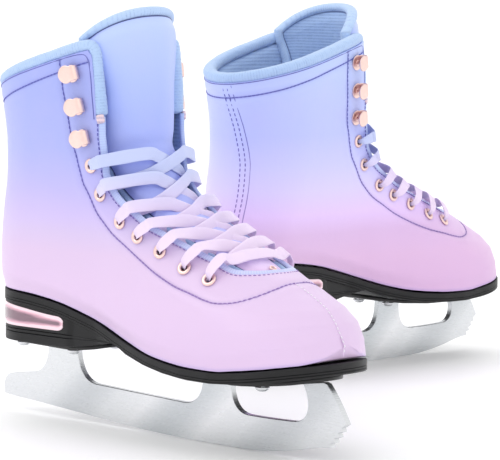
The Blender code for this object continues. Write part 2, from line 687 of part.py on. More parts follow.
    # rolled collar binding
    path, frames = [], []
    dm = (LEATHER + LINE_GAP + PAD) / 2
    spec = [(2.27, 3.0), (2.0, 3.0), (1.6, 3.0), (1.2, 3.0), (0.62, 3.0), (0.38, 3.3), (0.22, 4.9),
            (0.155, 8.0), (0.145, 14)]
    tot = at_total(0.145)
    n_side = 8
    f0 = flap_arc(0.145)
    for j in range(1, n_side + 1):
        spec.append((0.145, 14 + (tot - f0 - 14) * j / n_side))
    half = []
    for k, s in spec:
        f = flap_arc(k)
        ro = (s + f) / at_total(k)
        po = at_arc(k, 0.0, s + f)
        tin = at_total(k, 2 * dm)
        pi = at_arc(k, 2 * dm, ro * tin if s > 14.1 else flap_arc(k, 2 * dm) + s)
        half.append((po, pi))
    lst = [(np.array([p[0], p[1] + float(shift(p[0])), p[2]]),
            np.array([q[0], q[1] + float(shift(q[0])), q[2]])) for p, q in half]
    lst += [(np.array([p[0], -p[1] + float(shift(p[0])), p[2]]),
             np.array([q[0], -q[1] + float(shift(q[0])), q[2]])) for p, q in half[-2::-1]]
    P = [(a + b) / 2 for a, b in lst]
    for i in range(len(P)):
        t = P[min(i + 1, len(P) - 1)] - P[max(i - 1, 0)]
        t /= np.linalg.norm(t)
        x = lst[i][0] - lst[i][1]
        x = x - t * np.dot(x, t)
        x /= np.linalg.norm(x)
        frames.append((x, np.cross(t, x)))
    V, F = tube(P, frames, 4.3, 3.0, 8)
    node(side, "collar_binding", V, F, "binding")
    # tongue: fixed lower part and the part that flexes forward
    rings = [tongue_ring(k) for k in (3.62, 4.2, 5, 5.8, 6.6, 7.6, 9, 10.5, 12, 13.5, 14.6, 15.3, 15.8)]
    V, F = loft(rings)
    node(side, "tongue_lower", V, F, "tongue")
    V, F = loft(tongue_upper_rings())
    node(side, "tongue_upper", V, F, "tongue", origin=(TONGUE_HINGE[0], 0, TONGUE_HINGE[1]))
    # hooks
    hp2 = [(-5.5, .3), (5.0, .3), (6.6, 1.5), (7.0, 3.2), (6.4, 5.2), (5.0, 6.2), (-5.0, 6.6),
           (-5.0, 5.4), (4.3, 5.0), (5.4, 3.6), (5.2, 2.2), (4.0, 1.5), (-5.5, 1.5)]
    for sgn, nm in ((1, "outer"), (-1, "inner")):
        for i, k in enumerate(HOOK_K):
            s = flap_arc(k) + HOOK_DIST[i]
            p, n, e, f = wall_normal(k, s)
            e = -e
            f = np.cross(n, e)
            f /= np.linalg.norm(f)
            V = []
            for w in (-4.8, 4.8):
                for x, z in hp2:
                    q = p + e * x + n * (z + 0.25) + f * w
                    V.append((q[0], sgn * q[1] + float(shift(q[0])), q[2]))
            n_ = len(hp2)
            F = [list(range(n_))[::-1], [n_ + j for j in range(n_)]]
            for j in range(n_):
                F.append([j, (j + 1) % n_, n_ + (j + 1) % n_, n_ + j])
            node(side, "hook_%s_%d" % (nm, i + 1), V, F, "gold", smooth=False)
    eyelets(side)
    lace(side)


def sole_half_in(u):
    w = float(np.interp(u, SOLE_U, SOLE_W)) - 12.5
    if u < 48:
        x = (48 - u) / 21.5
        return 19 * math.sqrt(max(0.0, 1 - x * x))
    if u > 230:
        x = (u - 230) / 32.0
        return 30 * math.sqrt(max(0.0, 1 - x * x))
    return w if u > 60 else min(w, 19.0)


def at_total(k, d=0.0):
    return float(section(k, d)[1][-1])


def eyelets(side):
    """Seven barrels with flanges, carried by the stay tape behind the leather."""
    N = 8
    ang = [math.pi / 4 + 2 * math.pi * j / N for j in range(N)]
    for sgn, nm in ((1, "outer"), (-1, "inner")):
        V, F = [], []

        def put(p):
            V.append((p[0], sgn * p[1] + float(shift(p[0])), p[2]))
            return len(V) - 1

        prev = None
        for k in EYE_K:
            s = flap_arc(k) + EYE_DIST
            p, n, e, f = wall_normal(k, s)
            f = np.cross(n, e)
            f /= np.linalg.norm(f)
            lev = lambda r, h, sq=False: [put(p + n * h + (e * math.cos(a) + f * math.sin(a))
                                              * (r / max(abs(math.cos(a)), abs(math.sin(a))) if sq
                                                 else r)) for a in ang]
            d_sh, d_dp = -(LEATHER + 1.3), -(LEATHER + 2.1)
            strip_t, strip_d = lev(3.2, d_sh, True), lev(3.2, d_dp, True)
            bar_in, bar_out = lev(2.1, d_sh), lev(2.1, 1.5)
            fl_u, fl_t = lev(3.8, 1.5), lev(3.4, 2.2)
            bore_t, bore_d = lev(1.62, 2.0), lev(1.62, d_dp)

            def band(a, b):
                for j in range(N):
                    F.append([a[j], a[(j + 1) % N], b[(j + 1) % N], b[j]])
            band(strip_t, bar_in)
            band(bar_in, bar_out)
            band(bar_out, fl_u)
            band(fl_u, fl_t)
            band(fl_t, bore_t)
            band(bore_t, bore_d)
            band(bore_d, strip_d)
            # strip_t/strip_d have corners at even j (45, 135, 225, 315 degrees)
            sides = {0: (0, 1, 2), 1: (2, 3, 4), 2: (4, 5, 6), 3: (6, 7, 0)}
            for q, (a, b, c) in sides.items():
                if q in (1, 3):
                    F.append([strip_t[a], strip_t[b], strip_d[b], strip_d[a]])
                    F.append([strip_t[b], strip_t[c], strip_d[c], strip_d[b]])
            cur = {"t": strip_t, "d": strip_d, "k": k}
            if prev is None:
                a, b, c = 0, 1, 2
                top_side = sides[0] if np.dot(f, (0, 0, 1)) > 0 else sides[2]
                a, b, c = top_side
                F.append([strip_t[a], strip_t[b], strip_d[b], strip_d[a]])
                F.append([strip_t[b], strip_t[c], strip_d[c], strip_d[b]])
            else:
                # join previous lower side to this upper side
                U = sides[0] if up_is_plus else sides[2]
                L = sides[2] if up_is_plus else sides[0]
                ta, tb, tc = [prev["t"][x] for x in L]
                da, db, dc = [prev["d"][x] for x in L]
                ua, ub, uc = [strip_t[x] for x in U][::-1]
                va, vb, vc = [strip_d[x] for x in U][::-1]
                km = (k + prev["k"]) / 2
                pm, nm_, em, fm = wall_normal(km, flap_arc(km) + EYE_DIST)
                sx = (-3.0, 0.0, 3.0) if up_is_plus else (3.0, 0.0, -3.0)
                xa, xb, xc = [put(pm + em * x + nm_ * (d_sh - 0.7)) for x in sx]
                ya, yb, yc = [put(pm + em * x + nm_ * (d_dp - 0.7)) for x in sx]
                for t3, d3, u3, v3 in (((ta, tb, tc), (da, db, dc), (xa, xb, xc), (ya, yb, yc)),
                                       ((xa, xb, xc), (ya, yb, yc), (ua, ub, uc), (va, vb, vc))):
                    F.append([t3[0], t3[1], u3[1], u3[0]])
                    F.append([t3[1], t3[2], u3[2], u3[1]])
                    F.append([d3[0], d3[1], v3[1], v3[0]])
                    F.append([d3[1], d3[2], v3[2], v3[1]])
                    F.append([t3[0], d3[0], v3[0], u3[0]])
                    F.append([t3[2], d3[2], v3[2], u3[2]])
            up_is_plus = np.dot(f, (0, 0, 1)) > 0
            prev = cur
        L = sides[2] if up_is_plus else sides[0]
        a, b, c = L
        F.append([prev["t"][a], prev["t"][b], prev["d"][b], prev["d"][a]])
        F.append([prev["t"][b], prev["t"][c], prev["d"][c], prev["d"][b]])
        node(side, "eyelets_" + nm, V, F, "gold", smooth=False)


def lace(side):
    """One cord: bar across the lowest pair, then each half crosses upward over the tongue."""
    R = 0.88

    def pt(k, s, h, sg):
        p, n, e, f = wall_normal(k, flap_arc(k) + max(s, 0.6))
        q = p + n * h
        if s < 0.6:
            q = q - e * (0.6 - s)
        return np.array([q[0], sg * q[1] + float(shift(q[0])), q[2]])

    def over(k, x, h):
        a, b, _, _ = rails(k, 0)
        d = (b - a) / np.linalg.norm(b - a)
        q, A, B = (float(hermite(k, T_K, z)) for z in (T_Q, T_A, T_B))
        m = x * 25.0
        th = math.asin(min(abs(m) / B, .97))
        dep = q + A * (1 - math.cos(th)) - h
        return np.array([b[0] - d[0] * dep, m + float(shift(b[0])), b[1] - d[1] * dep])

    def half(sg, hi):
        out = [over(14.2, 0.0, 3.0), over(14.15, 0.55 * sg, 3.2), pt(14.1, 1.0, -4.6, sg),
               pt(14.02, 6.5, -5.2, sg), pt(14.0, EYE_DIST, -5.0, sg)]
        for i in range(6, -1, -1):
            k0 = EYE_K[i]
            out += [pt(k0, EYE_DIST, -2.0, sg), pt(k0, EYE_DIST, 2.9, sg),
                    pt(k0 - .03, EYE_DIST - 4.2, 4.3, sg), pt(k0 - .06, 5.5, 2.4, sg),
                    pt(k0 - .12, 0.6, 2.8, sg)]
            k1 = EYE_K[i - 1] if i else 3.42
            h = 5.6 if (hi == (i % 2 == 0)) else 2.9
            out += [over(k0 * .72 + k1 * .28, .62 * sg, h + 1.0), over((k0 + k1) / 2, 0, h),
                    over(k0 * .28 + k1 * .72, -.66 * sg, h * .5 + 2.2)]
            if i:
                out += [pt(k1 + .12, 1.0, -4.9, -sg), pt(k1 + .05, 6.0, -5.1, -sg),
                        pt(k1, EYE_DIST, -5.1, -sg)]
            else:
                out += [pt(k1, 2.5, -4.6, -sg), pt(k1, 8.0, -5.4, -sg)]
            sg = -sg
        return out

    a, b = half(1, True), half(-1, False)
    path = a[::-1] + b[1:]
    P, fr = rmf(path)
    V, F = tube(P, fr, R, R, 4)
    node(side, "lace", V, F, "lace")


for side_name in ("right", "left"):
    build(side_name)
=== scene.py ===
# Pair of lace-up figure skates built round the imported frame.  Local boot coordinates are
# millimetres: forward from the blade tail, towards the outer side, up from the floor.
import bpy
import bmesh
import math
import numpy as np
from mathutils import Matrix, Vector


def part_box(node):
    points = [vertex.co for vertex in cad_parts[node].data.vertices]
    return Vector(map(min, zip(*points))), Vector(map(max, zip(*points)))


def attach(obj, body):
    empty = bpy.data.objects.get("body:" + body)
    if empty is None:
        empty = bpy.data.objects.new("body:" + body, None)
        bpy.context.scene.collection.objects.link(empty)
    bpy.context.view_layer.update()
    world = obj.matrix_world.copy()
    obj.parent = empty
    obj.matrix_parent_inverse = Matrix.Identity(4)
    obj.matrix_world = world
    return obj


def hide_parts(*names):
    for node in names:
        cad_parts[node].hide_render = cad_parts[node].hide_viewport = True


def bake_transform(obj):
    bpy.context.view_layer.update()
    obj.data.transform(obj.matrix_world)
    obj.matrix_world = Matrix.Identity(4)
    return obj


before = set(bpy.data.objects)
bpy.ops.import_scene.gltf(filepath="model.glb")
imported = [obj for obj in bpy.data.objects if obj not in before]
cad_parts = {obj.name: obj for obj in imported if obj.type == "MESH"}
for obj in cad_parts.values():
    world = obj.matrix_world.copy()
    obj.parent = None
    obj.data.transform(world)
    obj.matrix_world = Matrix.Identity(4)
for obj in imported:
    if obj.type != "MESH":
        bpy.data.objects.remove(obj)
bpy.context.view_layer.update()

MM = 0.001
RNG = np.random.default_rng(11)
SIDES = ("right", "left")
BODY = {"right": "right_skate", "left": "left_skate"}
BLADE_BACK = 0.4             # the blade starts this far behind its tail mark

R_LOW, R_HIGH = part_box("r_blade")
L_LOW, L_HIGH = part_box("l_blade")
TAIL = {
    "right": (R_LOW.x / MM + BLADE_BACK, (R_LOW.y + R_HIGH.y) / 2 / MM),
    "left": ((L_LOW.x + L_HIGH.x) / 2 / MM, L_LOW.y / MM + BLADE_BACK),
}

# ------------------------------------------------------------------ boot form (mm)
LEATHER = 2.2
LINE_GAP = 1.7
PAD = 4.6
BLADE_T = 4.0
PLATE_T = 2.4
GAP = 0.3
THROAT_END = 16.0
TOE_SHIFT = -3.0
TIP = (279.8, 67.5)

A_U = [12, 15, 17, 17, 15, 13, 12, 14, 30, 52, 78, 102, 124, 145, 165, 184, 202, 219, 236, 250, 262, 271,
       276]
A_V = [205, 188, 169, 151, 134, 118, 101, 81.6, 80.8, 79.7, 76.3, 70.6, 64.2, 58.1, 53.9, 51.7, 50.5, 50.3,
       52.0, 53.9, 55.7, 57.1, 59.0]
B_U = [126, 130, 132, 134, 138, 145, 155, 166, 174, 181, 188, 195, 202, 209, 216, 223, 231, 240, 250, 260,
       269, 275.5, 278.3]
B_V = [237, 217, 197, 178, 162, 149, 139, 132, 128.3, 125, 122, 119.3, 116.8, 114.3, 111.6, 108.8, 105.3,
       101.5, 97.2, 92.3, 86.5, 79, 74.5]
NK = len(A_U)

TOP_U = [14, 30, 47, 62, 78, 96, 114, 130, 145, 160, 178, 200, 218, 236, 257, 270, 280]
TOP_V = [81, 79.7, 78.8, 77.3, 75, 70.8, 66, 61, 57, 53.6, 51, 49.5, 49.4, 51, 54, 56, 57.4]
BOT_U = [14, 84, 100, 127, 141, 159, 178, 200, 218, 236, 257, 270, 280]
BOT_V = [49, 49, 51, 56, 50.8, 47, 44.4, 43, 42.9, 44, 46.6, 48.6, 50.2]
SOLE_U = [47, 80, 110, 135, 165, 195, 215, 237]
SOLE_W = [31.5, 30, 29, 33, 39.5, 44.5, 45.2, 43.5]
HEEL_R = 31.5
TOE_R = 43.5
SOLE_BACK = 14.0
SOLE_FRONT = 280.0

FOOT_U = [14, 47, 80, 110, 140, 170, 200, 215, 240, 260, 280]
FEATHER = [31, 31, 29.5, 28.5, 33, 40, 44, 44.6, 43, 42, 41]
FOOT_W = [34, 34.5, 33.5, 33, 37, 42.5, 45.6, 46, 44.5, 43, 42]
SHAFT_V = [80, 110, 130, 150, 170, 190, 205, 240]
SHAFT_W = [35, 37.5, 37.5, 37.5, 38.5, 40.5, 42, 44.5]

SL_AV = [81.3, 86, 90, 94, 98, 102, 106, 110, 115, 121, 128, 137, 146, 157, 172, 188, 205, 222]
SL_BU = [280, 280.3, 276.5, 269, 260, 250, 240, 231, 216, 202, 188, 173, 155, 141, 134, 130, 126, 124]
SL_BV = [57, 68, 78.5, 86.5, 92.3, 97.2, 101.5, 105.3, 111.6, 116.8, 122, 128.5, 139, 155, 178, 210, 237,
         256]
SL_LB = [31.5, 32, 33, 34, 35, 36, 37, 38, 40, 42, 43, 44, 45, 46, 48, 50, 52, 54]
SL_LF = [43.5, 46, 52, 62, 78, 92, 95, 92, 80, 62, 48, 36, 26, 23, 23, 26, 30, 32]
SL_SG = [1, .8, .6, .4, .25, .12, 0, 0, 0, 0, 0, 0, 0, 0, 0, 0, 0, 0]

EYE_K = [3.8, 5.0, 6.45, 8.0, 10.1, 12.2, 14.0]
EYE_DIST = 12.0
HOOK_K = [0.85, 1.82, 2.8]
HOOK_DIST = [19.0, 17.5, 15.0]
BIND_END = 2.3              # section index where the plush binding stops on the flap


def hermite(x, xs, ys):
    """Smooth curve through a table, without overshoot."""
    xs = np.asarray(xs, float)
    ys = np.asarray(ys, float)
    x = np.asarray(x, float)
    h = np.diff(xs)
    d = np.diff(ys) / h
    m = np.zeros_like(ys)
    m[0], m[-1] = d[0], d[-1]
    for i in range(1, len(ys) - 1):
        if d[i - 1] * d[i] > 0:
            w1 = 2 * h[i] + h[i - 1]
            w2 = h[i] + 2 * h[i - 1]
            m[i] = (w1 + w2) / (w1 / d[i - 1] + w2 / d[i])
    xc = np.clip(x, xs[0], xs[-1])
    i = np.clip(np.searchsorted(xs, xc, side="right") - 1, 0, len(xs) - 2)
    t = (xc - xs[i]) / h[i]
    return ((2 * t**3 - 3 * t**2 + 1) * ys[i] + (t**3 - 2 * t**2 + t) * h[i] * m[i]
            + (-2 * t**3 + 3 * t**2) * ys[i + 1] + (t**3 - t**2) * h[i] * m[i + 1])


def sm(x):
    """Smooth step from 0 to 1."""
    x = np.clip(x, 0.0, 1.0)
    return x * x * (3 - 2 * x)


def unit(x):
    return x / np.maximum(np.linalg.norm(x, axis=-1, keepdims=True), 1e-12)


def arc_of(P):
    """Length run along a polyline, starting at 0."""
    return np.concatenate([[0], np.cumsum(np.linalg.norm(np.diff(P, axis=0), axis=1))])


def distinct(q):
    """The entries of a list in order, without repeats."""
    return list(dict.fromkeys(q))


def squircle(n, flat_c, flat_s):
    """Cosine and sine round n points of a superellipse, with the angles."""
    ang = np.arange(n) * 2 * math.pi / n
    c, s = np.cos(ang), np.sin(ang)
    return np.sign(c) * np.abs(c) ** flat_c, np.sign(s) * np.abs(s) ** flat_s, ang


def rings_at(C, a, A, b, B):
    """Rings round the points C: offsets a along directions A and b along directions B."""
    return C[:, None] + a[..., None] * A[:, None] + b[..., None] * B[:, None]


def sole_top(u):
    return hermite(u, TOP_U, TOP_V)


def sole_bot(u):
    return np.interp(u, BOT_U, BOT_V)


def shift(u):
    return TOE_SHIFT * sm((np.asarray(u, float) - 140) / 120)


def width(u, v):
    """Half-width of the boot at points of its middle plane."""
    u = np.atleast_1d(np.asarray(u, float))
    v = np.atleast_1d(np.asarray(v, float))
    avs, bus, bvs = np.array(SL_AV, float), np.array(SL_BU, float), np.array(SL_BV, float)
    au = hermite(avs, A_V[7::-1], A_U[7::-1])
    f = (u[:, None] - au) / (bus - au)
    sag = sole_top(u) - (81.3 + (u - 14) / 266 * (57 - 81.3))
    lin = avs + f * (bvs - avs) + np.array(SL_SG) * sag[:, None]
    idx = np.arange(len(avs))
    lam = np.array([np.interp(v[i], lin[i], idx) for i in range(len(u))])
    a0, b0 = np.interp(lam, idx, au), np.interp(lam, idx, bus)
    lb, lf = np.interp(lam, idx, SL_LB), np.interp(lam, idx, SL_LF)
    h = v - sole_top(u)
    a = sm(h / 12)
    low = hermite(u, FOOT_U, FEATHER) * (1 - a) + hermite(u, FOOT_U, FOOT_W) * a
    low = low * (1 - 0.12 * sm((h - 15) / 40) * sm((u - 110) / 50))
    sh = hermite(v, SHAFT_V, SHAFT_W) - 4 * sm((u - 70) / 60)
    g = sm((v - 88) / 45) * (1 - sm((u - 118) / 52) * (1 - sm((v - 125) / 25)))
    mid = low * (1 - g) + sh * g
    nf = 2.0 + 0.5 * sm((lam - 10) / 3) + 0.2 * sm((1 - lam))
    xb = np.clip((u - a0) / lb, 0, 1)
    xf = np.clip((b0 - u) / lf, 0, 1)
    rb = np.sqrt(np.clip(1 - (1 - xb) ** 2, 0, 1))
    rf = np.clip(1 - (1 - xf) ** nf, 0, 1) ** (1 / nf)
    return mid * rb * rf


def rails(k, d=0.0):
    """Rear and front ends of section k on the middle plane, plain and set in by d."""
    kk = np.arange(NK)
    a = np.array([hermite(k, kk, A_U), hermite(k, kk, A_V)])
    b = np.array([hermite(k, kk, B_U), hermite(k, kk, B_V)])
    hi, lo = min(k + 0.05, NK - 1), max(k - 0.05, 0)
    t = np.array([hermite(hi, kk, B_U) - hermite(lo, kk, B_U), hermite(hi, kk, B_V) - hermite(lo, kk, B_V)])
    t = t / np.linalg.norm(t)
    nb = np.array([t[1], -t[0]])
    na = np.array([1.0 - sm(k - 7.0), sm(k - 6.0)])
    ramp = float(sm((k - 17.5) / 4))
    return a, b, a + d * na + np.array([-d * ramp, 0]), b + d * nb


def section(k, d):
    """Half section from the front middle line round to the edge of the sole."""
    a, b, ai, bi = rails(k, d)
    s = (1 + np.cos(np.linspace(0, math.pi, 121))) / 2
    p = a[None] + s[:, None] * (b - a)[None]
    w = width(p[:, 0], p[:, 1])
    if k <= 7.0:
        w[-1] = 0.0
    w[0] = 0.0
    w = w * (w.max() - d) / w.max()
    q = ai[None] + s[:, None] * (bi - ai)[None]
    pts = np.stack([q[:, 0], w, q[:, 1]], 1)
    return pts, arc_of(pts)


def flap_half(k):
    """Half width of the throat at section k."""
    xs = [0, 3, 5, 7, 9, 11, 13, 14.5, 15.4, 15.8, 16]
    return float(hermite(k, xs, [33, 33, 33, 32, 30.5, 28.5, 26, 22.5, 15.5, 9,
                                 0])) if k < THROAT_END else 0.0


K_LO, K_HI = 0.05, 22.0
T_ROWS, T_COLS = 440, 161


class Skin:
    """Table of the boot's surface at one depth, read by section index k and arc s."""

    def __init__(self, depth):
        self.p = np.zeros((T_ROWS, T_COLS, 3))
        self.tot = np.zeros(T_ROWS)
        self.flap = np.zeros(T_ROWS)
        self.ks = np.linspace(K_LO, K_HI, T_ROWS)
        for i, k in enumerate(self.ks):
            pts, arc = section(k, depth)
            self.tot[i] = arc[-1]
            s = np.linspace(0, arc[-1], T_COLS)
            for c in range(3):
                self.p[i, :, c] = np.interp(s, arc, pts[:, c])
            if k < THROAT_END:
                top = int(np.argmax(pts[:, 1]))
                w = min(flap_half(k), pts[top, 1] * 0.97)
                self.flap[i] = np.interp(w, pts[:top + 1, 1], arc[:top + 1])

    def flap_at(self, k):
        k = np.asarray(k, float)
        return np.where(k < THROAT_END, np.interp(k, self.ks, self.flap), 0.0)

    def total(self, k):
        return np.interp(k, self.ks, self.tot)

    def at(self, k, s):
        k, s = np.broadcast_arrays(np.asarray(k, float), np.asarray(s, float))
        sign = np.where(s < 0, -1.0, 1.0)
        s = np.abs(s)
        x = np.clip((k - K_LO) / (K_HI - K_LO) * (T_ROWS - 1), 0, T_ROWS - 1.001)
        i = x.astype(int)
        f = x - i
        out = np.zeros(k.shape + (3,))
        for r, w in ((i, 1 - f), (i + 1, f)):
            y = np.clip(s / self.tot[r], 0, 1) * (T_COLS - 1)
            j = np.minimum(y.astype(int), T_COLS - 2)
            g = (y - j)[..., None]
            out += w[..., None] * ((1 - g) * self.p[r, j] + g * self.p[r, j + 1])
        out[..., 1] *= sign
        return out

    def frame(self, k, s):
        """Point, outward normal, direction of rising s and direction of rising k."""
        k, s = np.broadcast_arrays(np.asarray(k, float), np.asarray(s, float))
        hi, lo = np.minimum(k + 0.06, K_HI), np.maximum(k - 0.06, K_LO)
        t = self.total(k)
        e = self.at(k, np.minimum(s + 0.8, t)) - self.at(k, s - 0.8)
        f = self.at(hi, s * self.total(hi) / t) - self.at(lo, s * self.total(lo) / t)
        n = unit(np.cross(f, e))
        e = unit(e)
        return self.at(k, s), n, e, unit(np.cross(e, n))


OUT = Skin(0.0)
IN_A = Skin(LEATHER + LINE_GAP)
IN_B = Skin(LEATHER + LINE_GAP + PAD)


def reach_in(k):
    """How far the lacing flap comes further in over the instep than its plain outline."""
    return 3.6 * sm((k - 4.9) / 1.4) * (1 - sm((k - 12.6) / 2.3))


def on(k, dist, h=0.0, sg=1.0):
    """Point, normal, e and f at a distance from the flap edge and a height off the leather."""
    k = np.asarray(k, float)
    dist = dist - reach_in(k) * np.clip(1 - np.asarray(dist, float) / 9.0, 0, 1.2)
    p, n, e, f = OUT.frame(k, OUT.flap_at(k) + dist)
    p = p + n * np.asarray(h, float)[..., None]
    flip = np.array([1.0, sg, 1.0])
    p, n, e, f = p * flip, n * flip, e * flip, f * flip
    p[..., 1] += shift(p[..., 0])
    return p, n, e, f


def place(side, P):
    """Local boot millimetres to the frame's metres."""
    P = np.asarray(P, float).reshape(-1, 3)
    tx, ty = TAIL[side]
    if side == "right":
        x, y = P[:, 0] + tx, ty - P[:, 1]
    else:
        x, y = tx - P[:, 1], P[:, 0] + ty
    return np.stack([x, y, P[:, 2]], 1) * MM


# ------------------------------------------------------------------ mesh helpers
def piece(side, name, V, F, mats, body=None, fmat=None, tex=None, tone=None, replaces=(), sharp=None):
    """One closed mesh, carried by a body; loc and tex hold pattern coordinates in metres."""
    V = np.asarray(V, float).reshape(-1, 3)
    full = side[0] + "v_" + name
    me = bpy.data.meshes.new(full)
    me.from_pydata(place(side, V).tolist(), [], [tuple(int(i) for i in f) for f in F])
    for label, data in (("loc", V * MM), ("tex", None if tex is None else np.asarray(tex, float) * MM)):
        if data is not None:
            at = me.attributes.new(label, "FLOAT_VECTOR", "POINT")
            at.data.foreach_set("vector", data.astype(np.float32).ravel())
    if tone is not None:
        at = me.attributes.new("tone", "FLOAT", "POINT")
        at.data.foreach_set("value", np.asarray(tone, np.float32).ravel())
    for m in mats if isinstance(mats, (list, tuple)) else [mats]:
        me.materials.append(m)
    if fmat is not None:
        me.polygons.foreach_set("material_index", np.asarray(fmat, np.int32))
    me.polygons.foreach_set("use_smooth", np.ones(len(me.polygons), bool))
    bm = bmesh.new()
    bm.from_mesh(me)
    bmesh.ops.recalc_face_normals(bm, faces=bm.faces)
    if bm.calc_volume(signed=True) < 0:
        bmesh.ops.reverse_faces(bm, faces=bm.faces)
    bm.to_mesh(me)
    bm.free()
    if sharp is not None:
        me.set_sharp_from_angle(angle=math.radians(sharp))
    me.update()
    ob = bpy.data.objects.new(full, me)
    bpy.context.scene.collection.objects.link(ob)
    if replaces:
        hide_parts(*[side[0] + "_" + r for r in replaces])
    if body != "later":
        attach(ob, body or BODY[side])
    return ob


def thick(outer, inner, faces):
    """Closed skin from two matching vertex lists: walls join them along every open edge."""
    n = len(outer)
    seen = {}
    for f in faces:
        for a, b in zip(f, f[1:] + f[:1]):
            key = (min(a, b), max(a, b))
            seen[key] = None if key in seen else (a, b)
    F = [list(f) for f in faces] + [[n + i for i in f[::-1]] for f in faces]
    walls = [[b, a, n + a, n + b] for e in seen.values() if e for a, b in [e]]
    return np.concatenate([outer, inner]), F, walls


def grid_faces(nr, nc, skip=(), ids=None):
    F = []
    for i in range(nr - 1):
        for j in range(nc - 1):
            if (i, j) in skip:
                continue
            q = [i * nc + j, i * nc + j + 1, (i + 1) * nc + j + 1, (i + 1) * nc + j]
            if ids is not None:
                q = [ids[x] for x in q]
            q = distinct(q)
            if len(q) > 2:
                F.append(q)
    return F


def compact(V, faces):
    """Vertices that the faces use, the faces with new numbers, and the old numbers."""
    used = sorted({i for f in faces for i in f})
    new = {old: i for i, old in enumerate(used)}
    return V[used], [[new[i] for i in f] for f in faces], used


def sweep(rings, caps=True):
    """Faces of a tube of equal rings; the end rings are closed."""
    rings = np.asarray(rings, float)
    m, n = rings.shape[:2]
    F = []
    for i in range(m - 1):
        for j in range(n):
            F.append([i * n + j, i * n + (j + 1) % n, (i + 1) * n + (j + 1) % n, (i + 1) * n + j])
    if caps:
        F.append(list(range(n))[::-1])
        F.append([(m - 1) * n + j for j in range(n)])
    return rings.reshape(-1, 3), F


def join(parts):
    V, F, M, T = [], [], [], []
    o = 0
    for v, f, m, t in parts:
        v = np.asarray(v, float).reshape(-1, 3)
        V.append(v)
        F += [[i + o for i in x] for x in f]
        M += [m] * len(f) if np.ndim(m) == 0 else list(m)
        T.append(np.zeros((len(v), 3)) if t is None else np.asarray(t, float).reshape(-1, 3))
        o += len(v)
    return np.concatenate(V), F, M, np.concatenate(T)


def resample(P, step, extra=None):
    """Points at an even spacing along a polyline, with other columns carried along."""
    P = np.asarray(P, float)
    arc = arc_of(P)
    n = max(int(round(arc[-1] / step)), 2)
    s = np.linspace(0, arc[-1], n + 1)
    out = np.stack([np.interp(s, arc, P[:, c]) for c in range(P.shape[1])], 1)
    if extra is None:
        return out, s
    ex = np.asarray(extra, float)
    return out, s, np.stack([np.interp(s, arc, ex[:, c]) for c in range(ex.shape[1])], 1)


def spline(P, n):
    """Catmull-Rom through the rows of P (any number of columns)."""
    P = np.asarray(P, float)
    out = []
    for i in range(len(P) - 1):
        p0, p1, p2, p3 = P[max(i - 1, 0)], P[i], P[i + 1], P[min(i + 2, len(P) - 1)]
        for t in np.arange(n) / n:
            out.append(0.5 * (2 * p1 + (p2 - p0) * t + (2 * p0 - 5 * p1 + 4 * p2 - p3) * t * t
                              + (3 * p1 - p0 - 3 * p2 + p3) * t ** 3))
    out.append(P[-1])
    return np.array(out)


def noise1(x, seed, octaves=3):
    """Smooth repeatable wobble, about -1 to 1."""
    x = np.asarray(x, float)
    g = np.random.default_rng(seed)
    y = np.zeros_like(x)
    for o in range(octaves):
        for _ in range(3):
            y = y + np.sin(x * (2 ** o) * g.uniform(0.7, 1.4) + g.uniform(0, 6.28)) * 0.4 / (1 + o)
    return y


# ------------------------------------------------------------------ materials
def lin(rgb):
    """Screen colour, 0 to 255, as a linear one."""
    part = [c / 255.0 for c in rgb]
    return tuple(c / 12.92 if c <= 0.04045 else ((c + 0.055) / 1.055) ** 2.4 for c in part) + (1.0,)


